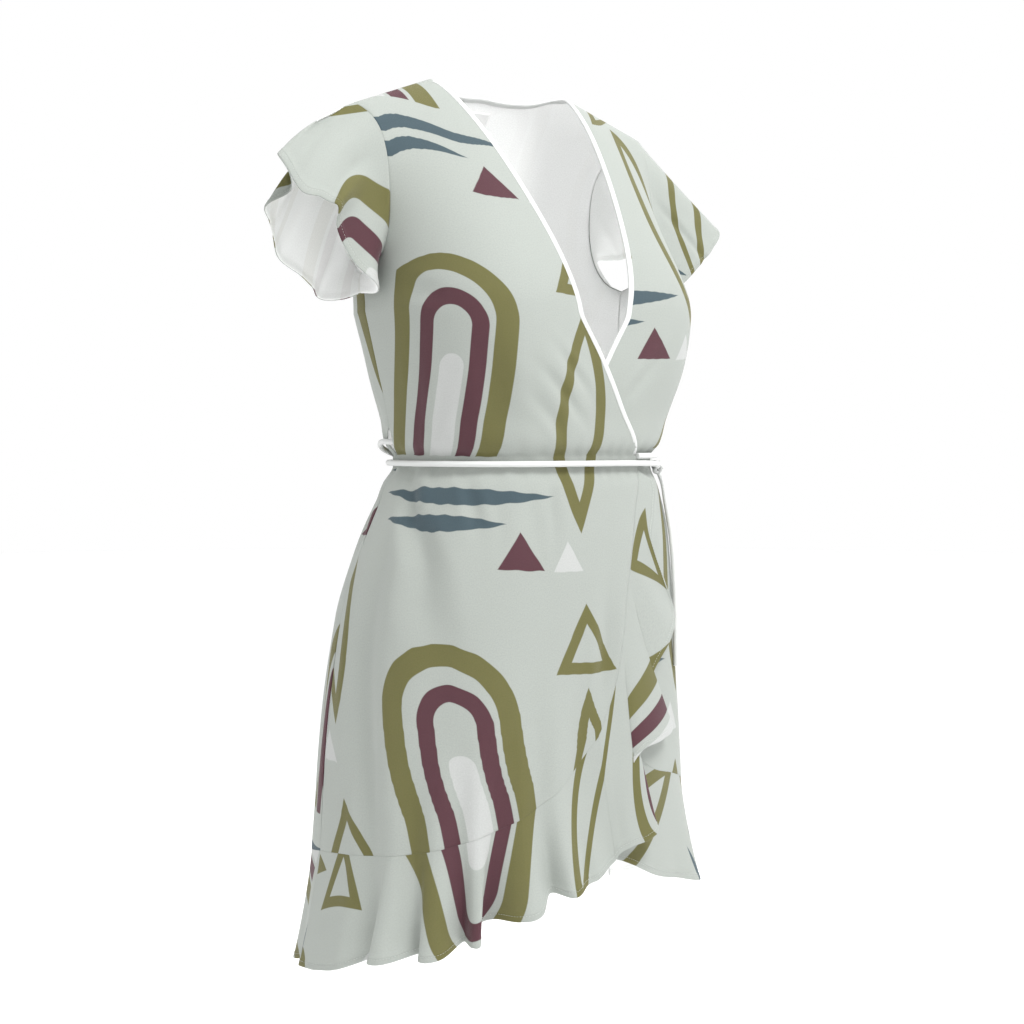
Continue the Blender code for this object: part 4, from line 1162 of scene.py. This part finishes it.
def weave_bump(made, shader, vector, thread, strength):
    """Bump of two crossing sets of threads and a little unevenness."""
    pattern = Pattern(made.node_tree)
    x, y, _ = pattern.node("SeparateXYZ", vector).outputs
    turns = 2.0 * math.pi / thread
    warp, weft = (pattern.sum("SINE", pattern.sum("MULTIPLY", way, turns)) for way in (x, y))
    height = pattern.sum("MULTIPLY", warp, weft)
    for scale, share in UNEVENNESS:
        height = pattern.sum("MULTIPLY_ADD", pattern.noise(vector, scale, FINE), share, height)
    bump = pattern.node("Bump")
    bump.inputs["Strength"].default_value = strength
    bump.inputs["Distance"].default_value = WEAVE_HEIGHT
    pattern.feed(bump.inputs["Height"], height)
    pattern.feed(shader.inputs["Normal"], bump.outputs[0])
    return pattern


print("threads in a centimetre:", round(0.01 / THREAD))

# %% Cloth materials
WRONG_SIDE = (0.86, 0.87, 0.86)
GRAIN = (700.0, 0.26)         # scale of the slubs in the colour, and how much they change it


def printed_cloth(name, showing, soak):
    """Sage cloth with the print; showing is 1 on the right side, less on the wrong side, and more on the
    sleeves' wrong side, where the extra is painted light shining through.
    """
    made, shader = cloth_material(name, 0.86, 0.10, soak)
    flat = Pattern(made.node_tree).node("UVMap", uv_map="flat_cut").outputs[0]
    pattern = weave_bump(made, shader, flat, THREAD, WEAVE_STRENGTH)
    group = pattern.tree.nodes.new("ShaderNodeGroup")
    group.node_tree = hand_cut_print
    colour = group.outputs[0]
    if showing < 1.0:
        colour = pattern.mix(showing, WRONG_SIDE, colour)
    pattern.feed(shader.inputs["Base Color"], pattern.mottled(colour, flat, *GRAIN))
    return made


right_side = printed_cloth("printed_cloth", 1.0, 0.30)
wrong_side = printed_cloth("wrong_side", 0.05, 0.80)
# the sleeves' wrong side shows more print: painted light, for daylight shining through the thin cloth
sleeve_wrong_side_painted_show_through = printed_cloth("sleeve_wrong_side_painted_show_through", 0.22, 0.80)
print("cloth made:", right_side.name, wrong_side.name, sleeve_wrong_side_painted_show_through.name)

# %% [markdown]
# ## Trim, thread and label
# The binding and the ties are cut from plain white cloth on the bias, so their weave runs at
# forty five degrees. The stitching thread is a little glossier than the cloth, and the label is
# a smooth woven satin. One function makes them all, since only colour, gloss and weave differ.

# %% Trim materials
TRIM_WHITE = (0.65, 0.66, 0.65)
PATCHES = (70.0, 0.06)        # scale of the paler patches, and how much they change the colour
TRIM_SOAK = 0.35


def plain_cloth(name, colour, roughness, sheen, thread, strength, turned=0.0):
    """Unprinted cloth, with its weave turned to the given angle."""
    made, shader = cloth_material(name, roughness, sheen, TRIM_SOAK)
    where = made.node_tree.nodes.new("ShaderNodeTexCoord").outputs["Object"]
    turn = Pattern(made.node_tree).node("VectorRotate", where, rotation_type="Z_AXIS")
    turn.inputs["Angle"].default_value = math.radians(turned)
    pattern = weave_bump(made, shader, turn.outputs[0], thread, strength)
    pattern.feed(shader.inputs["Base Color"], pattern.mottled(colour, where, *PATCHES))
    return made


trim_cloth = plain_cloth("white_bias_cloth", TRIM_WHITE, 0.80, 0.10, 0.0007, 0.35, 45.0)
sage_thread = plain_cloth("sage_thread", (0.52, 0.54, 0.51), 0.55, 0.20, 0.0003, 0.3)
white_thread = plain_cloth("white_thread", TRIM_WHITE, 0.55, 0.20, 0.0003, 0.3)
label_satin = plain_cloth("label_satin", (0.93, 0.93, 0.92), 0.42, 0.25, 0.0004, 0.25)
for end in tie_ends:
    end.data.materials.append(trim_cloth)
print("trim made:", trim_cloth.name, sage_thread.name, label_satin.name)

# %% [markdown]
# ## Shells of cloth
# Each grid becomes one sheet of faces, and a Solidify modifier gives it a wall, with the wrong
# side of the cloth as the material of its inner faces. The second side could be modelled too, but
# the modifier keeps both in step. A vertex group makes the wall thinner than its full value
# everywhere but at the turned hem.

# %% Shell of cloth
WALL = 0.0021                 # at the turned hem, which is three layers
CLOTH_SHARE = 0.55            # the cloth's own share of that
HEM_WALL = (CLOTH_SHARE, 0.92, 1.0, 0.74, 1.0, 1.0, 1.0, 0.9, 0.62)    # of the rows of HEM_STEPS


def mesh_of(work, name):
    """The finished mesh of a working one."""
    mesh = bpy.data.meshes.new(name)
    work.to_mesh(mesh)
    work.free()
    return mesh


def smooth_piece(name, mesh, *finishes):
    """A smooth object of the mesh, with its materials."""
    mesh.shade_smooth()
    for finish in finishes:
        mesh.materials.append(finish)
    return add_object(name, mesh)


def shell(name, grid, flat, faces_out, hem, closed, *finishes):
    """A sheet of faces on the grid, right side out, with a wall and its flat places."""
    columns = len(grid[0])
    work = bmesh.new()
    bmesh.ops.create_grid(work, x_segments=columns - 1, y_segments=len(grid) - 1, size=1.0)
    work.verts.ensure_lookup_table()
    layer = work.loops.layers.uv.new("flat_cut")
    weights = work.verts.layers.deform.verify()
    shares = [CLOTH_SHARE] * len(grid)
    if hem:
        shares[-len(HEM_WALL):] = HEM_WALL
    for number, vertex in enumerate(work.verts):
        row, column = divmod(number, columns)
        vertex.co = grid[row][column]
        vertex[weights][0] = shares[row]
    for face in work.faces:
        for loop in face.loops:
            row, column = divmod(loop.vert.index, columns)
            loop[layer].uv = flat[row][column]
    if not faces_out:
        bmesh.ops.reverse_faces(work, faces=work.faces)
    if closed:
        bmesh.ops.remove_doubles(work, verts=work.verts, dist=0.00001)
    piece = smooth_piece(name, mesh_of(work, name), *finishes)
    piece.vertex_groups.new(name="wall")
    wall = piece.modifiers.new("wall", "SOLIDIFY")
    wall.thickness = WALL
    wall.offset = 0.0
    wall.vertex_group = "wall"
    wall.material_offset = 1
    return piece


def flat_area(piece):
    return sum(face.area for face in piece.data.polygons)


print("one layer of cloth", round(1000 * WALL * CLOTH_SHARE, 2), "mm, a hem", 1000 * WALL, "mm")

# %% Cloth pieces
# node, grid, whether its own faces look out, hem, closed, what it hangs from
SHELLS = (
    ("front_right", right_front, False, False, False, ["neck_binding_strip", "back_cloth"]),
    ("front_left", left_front, True, False, False, ["neck_binding_strip", "back_cloth"]),
    ("back", back, True, False, False,
     ["neck_binding_strip", "front_right_cloth", "front_left_cloth"]),
    ("flounce_front_right", over_flounce, True, True, False, ["front_right_cloth"]),
    ("flounce_front_left", under_flounce, False, True, False, ["front_left_cloth"]),
    ("flounce_back", back_flounce, True, True, False, ["back_cloth"]),
    ("sleeve_right", right_sleeve, True, True, True, ["front_right_cloth", "back_cloth"]),
    ("sleeve_left", left_sleeve, False, True, True, ["front_left_cloth", "back_cloth"]),
)
cloth = {}
for node, grid, faces_out, hem, closed, _ in SHELLS:
    # sleeves take the wrong side with more print painted in as light shining through
    inner = sleeve_wrong_side_painted_show_through if closed else wrong_side
    piece = shell(node + "_cloth", grid, flats[node], faces_out, hem, closed, right_side, inner)
    cloth[node] = stand_for(piece, node)
    print(piece.name, len(piece.data.polygons), "faces", round(flat_area(piece), 4), "m2")

# %% [markdown]
# ## Bound neckline
# The neck edge is enclosed by a narrow bias strip, folded over it and topstitched. Its
# cross-section is a flat loop, plump at the fold and pressed at the stitches, and it is swept
# along the finished edge: up the right front, round the back neck and down the left front.
# A curve with a bevel object could do this too, but it would twist where the edge turns.

# %% Binding
# distance in from the finished edge and half thickness, in mm
BINDING_PROFILE = metres((
    (0, 0.45), (0.3, 0.95), (1, 1.35), (2.2, 1.45), (3.6, 1.35), (4.6, 1.05), (5.1, 0.95),
    (5.6, 1.1), (6.1, 1), (6.2, 0.65),
))
KNOT_STEP = 0.0035
SMOOTH_ROUNDS = 5


def smoothed(knots, rounds):
    """The knots of a path, each eased towards its neighbours."""
    for _ in range(rounds):
        between = [[a * 0.25 + b * 0.5 + c * 0.25 for a, b, c in zip(*three)]
                   for three in zip(knots, knots[1:], knots[2:])]
        knots = [knots[0], *between, knots[-1]]
    return knots


def even(knots, step):
    """The knots spaced evenly along their path."""
    total = line_length([knot[0] for knot in knots])
    count = int(total / step)
    return knots_at(knots, [total * k / count for k in range(count + 1)])


neck_path = right_neck[:0:-1] + back_neck + mirrored(left_neck)[1:]
neck_path = smoothed(even(neck_path, KNOT_STEP), SMOOTH_ROUNDS)


def lofted(name, rings, finish):
    """A tube through rings of points, with its two ends filled."""
    work = bmesh.new()
    made = [[work.verts.new(p) for p in points] for points in rings]
    for a, b in zip(made, made[1:]):
        for k in range(len(a)):
            n = (k + 1) % len(a)
            work.faces.new((a[k], a[n], b[n], b[k]))
    work.faces.new(made[0][::-1])
    work.faces.new(made[-1])
    bmesh.ops.recalc_face_normals(work, faces=work.faces)
    return smooth_piece(name, mesh_of(work, name), finish)


def binding_rings(path):
    rings = []
    for edge, inward, normal in path:
        inward = inward.normalized()
        normal = (normal - inward * normal.dot(inward)).normalized()
        outer = [edge + inward * s + normal * h for s, h in BINDING_PROFILE]
        inner = [edge + inward * s - normal * h for s, h in BINDING_PROFILE[::-1]]
        rings.append(outer + inner)
    return rings


stand_for(lofted("neck_binding_strip", binding_rings(neck_path), trim_cloth), "neck_binding")
print("binding", round(line_length([k[0] for k in neck_path]), 3), "m long")

# %% [markdown]
# ## Stitches
# A lockstitch shows as a row of short threads, each sunk at its ends. One function shapes such a
# thread as a small spindle, and all the spindles of a line of stitching are one mesh. An array
# modifier on a curve would bend them, and separate objects would be slow.

# %% Stitches
STITCH_PITCH = 0.0030
STITCH_LENGTH = 0.0023
STITCH_THICK = 0.00017
STITCH_STAND = 0.37           # of the wall, from its middle to the stitches of a hem
STITCH_IN = 0.0051            # on the binding, in from its edge
STITCH_UP = 0.00098           # and out from its middle
STITCH_RISE = 0.5             # of its thickness, in the middle
STITCH_SINK = 1.6             # and how much lower it would be at a whole length from there
# place along the stitch, thickness there
SPINDLE_RINGS = ((-0.5, 0.15), (-0.38, 0.8), (0.0, 1.0), (0.38, 0.8), (0.5, 0.15))
SPINDLE_SIDES = 5


def spindle(start, end, normal):
    """Points of one stitch, lying on the cloth from start to end."""
    way = (end - start).normalized()
    aside = way.cross(normal).normalized()
    points = []
    for place, size in SPINDLE_RINGS:
        centre = (start + end) / 2 + way * place * (end - start).length
        centre += normal * STITCH_THICK * (STITCH_RISE - STITCH_SINK * abs(place))
        for k in range(SPINDLE_SIDES):
            turn = 2.0 * math.pi * k / SPINDLE_SIDES
            points.append(centre + (aside * math.cos(turn) + normal * math.sin(turn))
                          * STITCH_THICK * size)
    return points


print("points of a stitch:", len(spindle(Vector((0, 0, 0)), Vector((1, 0, 0)), Vector((0, 0, 1)))))


# %% Rows of stitches
def stitches(name, knots, finish):
    """A row of stitches along knots on the cloth, each a point and the way out of it."""
    count = int(line_length([knot[0] for knot in knots]) / STITCH_PITCH)
    starts = [k * STITCH_PITCH for k in range(count)]
    ends = knots_at(knots, [start + STITCH_LENGTH for start in starts])
    points = []
    faces = []
    for (start, normal), (end, _) in zip(knots_at(knots, starts), ends):
        first = len(points)
        points += spindle(start, end, normal.normalized())
        for r in range(len(SPINDLE_RINGS) - 1):
            low = first + r * SPINDLE_SIDES
            high = low + SPINDLE_SIDES
            for s in range(SPINDLE_SIDES):
                n = (s + 1) % SPINDLE_SIDES
                faces.append((low + s, low + n, high + n, high + s))
    mesh = bpy.data.meshes.new(name)
    mesh.from_pydata(points, [], faces)
    piece = smooth_piece(name, mesh, finish)
    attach(piece, "root")
    return piece


def hem_knots(grid, side):
    """The stitching line of a hem on the right side of the cloth, and the way out of it."""
    row = len(grid) - 1 - HEM_STEPS[::-1].index(STITCH_LINE)
    normals = [outward(grid, row, c) * side for c in range(len(grid[0]))]
    return [(p + n * WALL * STITCH_STAND, n) for p, n in zip(grid[row], normals)]


for node, grid, faces_out, hem, *_ in SHELLS:
    if hem:
        knots = hem_knots(grid, -1.0 if faces_out else 1.0)
        stitches(node + "_hem_stitches", knots, sage_thread)
knots = [(edge + inward.normalized() * STITCH_IN + normal.normalized() * STITCH_UP, normal)
         for edge, inward, normal in neck_path]
stitches("neck_binding_stitches", knots, white_thread)

# %% [markdown]
# ## Waist ties and knot
# Each tie starts at the end of a front edge. The right one runs once round the waist on the
# outside. The left one runs inside to a slit in the right side seam, comes out there in a small
# loop and goes round the back. They meet in a small overhand knot at the wearer's left. A real
# one could be drawn strand by strand, but a closed curve with three lobes, drawn up tight, reads
# as cord that passes over itself.

# %% Ties
# angle, then level and lift in mm
RIGHT_TIE = metres((
    (27.2, -377, 3.6), (34, -377, 5), (60, -377, 5), (85, -380.5, 5), (110, -384, 5), (180, -384, 5),
    (252, -384, 5.2), (285, -384, 6), (310, -384, 7), (375, -384, 7.2), (405, -385.5, 7.2),
    (413.5, -388, 7.2),
), kept=(0,))
LEFT_TIE = metres((
    (-36, -373.5, -5), (-60, -371.5, -5.4), (-85, -365.5, -9), (-101, -363, -7.5), (-107, -363, 0),
    (-112, -363.5, 5.5), (-126, -372.5, 6.6), (-140, -377, 5.2), (-180, -377, 5), (-240, -377, 5.2),
    (-252, -377, 8.4), (-262, -377.5, 11.5), (-275, -380, 12), (-288, -384.5, 11.7), (-301.5, -388, 8.5),
), kept=(0,))
for name, table, count in (("tie_right_front", RIGHT_TIE, 240), ("tie_left_front", LEFT_TIE, 220)):
    path = tie_path(table, count)
    rouleau(name + "_cord", path, name).data.materials.append(trim_cloth)
    print(name, round(line_length(path), 3), "m")

# %% Knot
KNOT_ANGLE = 56.0
KNOT_Z = -0.3885
KNOT_OFF = 0.0012             # between the knot and the form
KNOT_HALF = (0.0065, 0.0060, 0.0075)
KNOT_POINTS = 72
KNOT_CORD = 0.0023
KNOT_TUCK = 0.7               # of the cord, by which the lobes stay inside the half size


def make_knot():
    """A tight knot with three lobes where the two ties meet."""
    turn = math.radians(KNOT_ANGLE)
    centre = body_point(KNOT_ANGLE, KNOT_Z, KNOT_HALF[1] + KNOT_OFF)
    aside = Vector((math.cos(turn), math.sin(turn), 0.0)) * (KNOT_HALF[0] - KNOT_CORD * KNOT_TUCK)
    out = Vector((math.sin(turn), -math.cos(turn), 0.0)) * (KNOT_HALF[1] - KNOT_CORD)
    up = Vector((0.0, 0.0, KNOT_HALF[2] - KNOT_CORD * KNOT_TUCK))
    points = []
    for k in range(KNOT_POINTS):
        t = 2.0 * math.pi * k / KNOT_POINTS
        points.append(centre + aside * (math.sin(t) + 2.0 * math.sin(2.0 * t)) / 3.0
                      - out * math.sin(3.0 * t)
                      + up * (math.cos(t) - 2.0 * math.cos(2.0 * t)) / 3.0)
    piece = rouleau("tie_knot_cord", points, "tie_knot", KNOT_CORD)
    piece.data.splines[0].use_cyclic_u = True
    piece.data.materials.append(trim_cloth)
    return piece


print("knot", [round(d, 4) for d in make_knot().dimensions])

# %% [markdown]
# ## Neck label
# A blank satin label hangs inside the back neck from the binding. A flat card would cut into the
# curved back, so it is laid on the back's own points, moved in by a little more than the cloth,
# and bowed slightly away at its free edge.

# %% Label
LABEL_STEPS = 16
LABEL_ROWS = 30               # rows of the back that are looked through
LABEL_EDGE = 0.0005           # kept free inside the box of the solid
LABEL_OFF = 0.0017            # from the middle of the back's cloth
LABEL_BOW = 0.0018
LABEL_THICK = 0.0009


def label_point(x, z, bow):
    """A point of the label, in from the back at this place."""
    line = [Vector(mix([(p.x, *p) for p in row], x)) for row in back[:LABEL_ROWS]]
    under = next(k for k, p in enumerate(line) if p.z < z)
    a, b = line[under - 1:under + 1]
    inwards = Vector((0.0, b.z - a.z, a.y - b.y)).normalized()
    return a.lerp(b, (z - a.z) / (b.z - a.z)) + inwards * (LABEL_OFF + bow)


def make_label():
    low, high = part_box("neck_label")
    wide = high.x - low.x - 2 * LABEL_EDGE
    tall = high.z - low.z - 2 * LABEL_EDGE
    parts = [k / LABEL_STEPS for k in range(LABEL_STEPS + 1)]
    grid = [[label_point(low.x + LABEL_EDGE + wide * across, high.z - LABEL_EDGE - tall * down,
                         LABEL_BOW * down**2) for across in parts] for down in parts]
    flat = [[(p.x, p.z) for p in row] for row in grid]
    piece = shell("neck_label_satin", grid, flat, True, False, False, label_satin, label_satin)
    piece.modifiers["wall"].thickness = LABEL_THICK
    piece.modifiers["wall"].vertex_group = ""
    return stand_for(piece, "neck_label")


print("label", [round(v, 3) for v in make_label().dimensions])

# %% [markdown]
# ## What is soft
# The loop below only goes through the free pieces of cloth, each with the pieces that it hangs
# from, which are the pieces that it is sewn to. Nothing is set on them here.


for node, grid, *_, hangs_from in SHELLS:
    piece = cloth[node]

# %% [markdown]
# ## Floor and light
# The dress is shown by itself at the height at which it is worn, over a wide white floor. A large
# soft light stands high in front of the wearer, so the hip that is turned to the camera falls
# into shade, the troughs read, and little light gets in at the neck. A weaker one behind shines
# through the thin cloth and lights its wrong side, and a bright sky stands for a white studio. An
# image of a real studio could light it too, but two lamps are easier to aim.

# %% Floor and light
FLOOR_Z = -1.30
FLOOR_RADIUS = 14.0
WHITE = (1.0, 1.0, 1.0, 1.0)
LIGHT_AIM = Vector((0.0, -0.03, -0.42))


def make_floor():
    work = bmesh.new()
    bmesh.ops.create_circle(work, cap_ends=True, segments=96, radius=FLOOR_RADIUS)
    floor = add_object("floor", mesh_of(work, "floor"))
    finish, _ = new_material("pale_floor", {"Base Color": WHITE, "Roughness": 0.9})
    floor.data.materials.append(finish)
    floor.location.z = FLOOR_Z


def soft_light(name, place, size, power):
    data = bpy.data.lights.new(name, "AREA")
    data.shape = "DISK"
    data.size = size
    data.energy = power
    light = add_object(name, data)
    light.location = place
    light.rotation_euler = (LIGHT_AIM - light.location).to_track_quat("-Z", "Y").to_euler()


make_floor()
soft_light("key", (-0.05, -2.05, 2.10), 1.3, 99.0)
soft_light("rear", (1.9, 2.2, 1.2), 2.0, 36.0)
world = bpy.data.worlds.new("studio")
world.use_nodes = True
world.node_tree.nodes["Background"].inputs["Color"].default_value = WHITE
world.node_tree.nodes["Background"].inputs["Strength"].default_value = 1.0
bpy.context.scene.world = world
bpy.context.scene.view_settings.view_transform = "Standard"
print("floor at", FLOOR_Z)
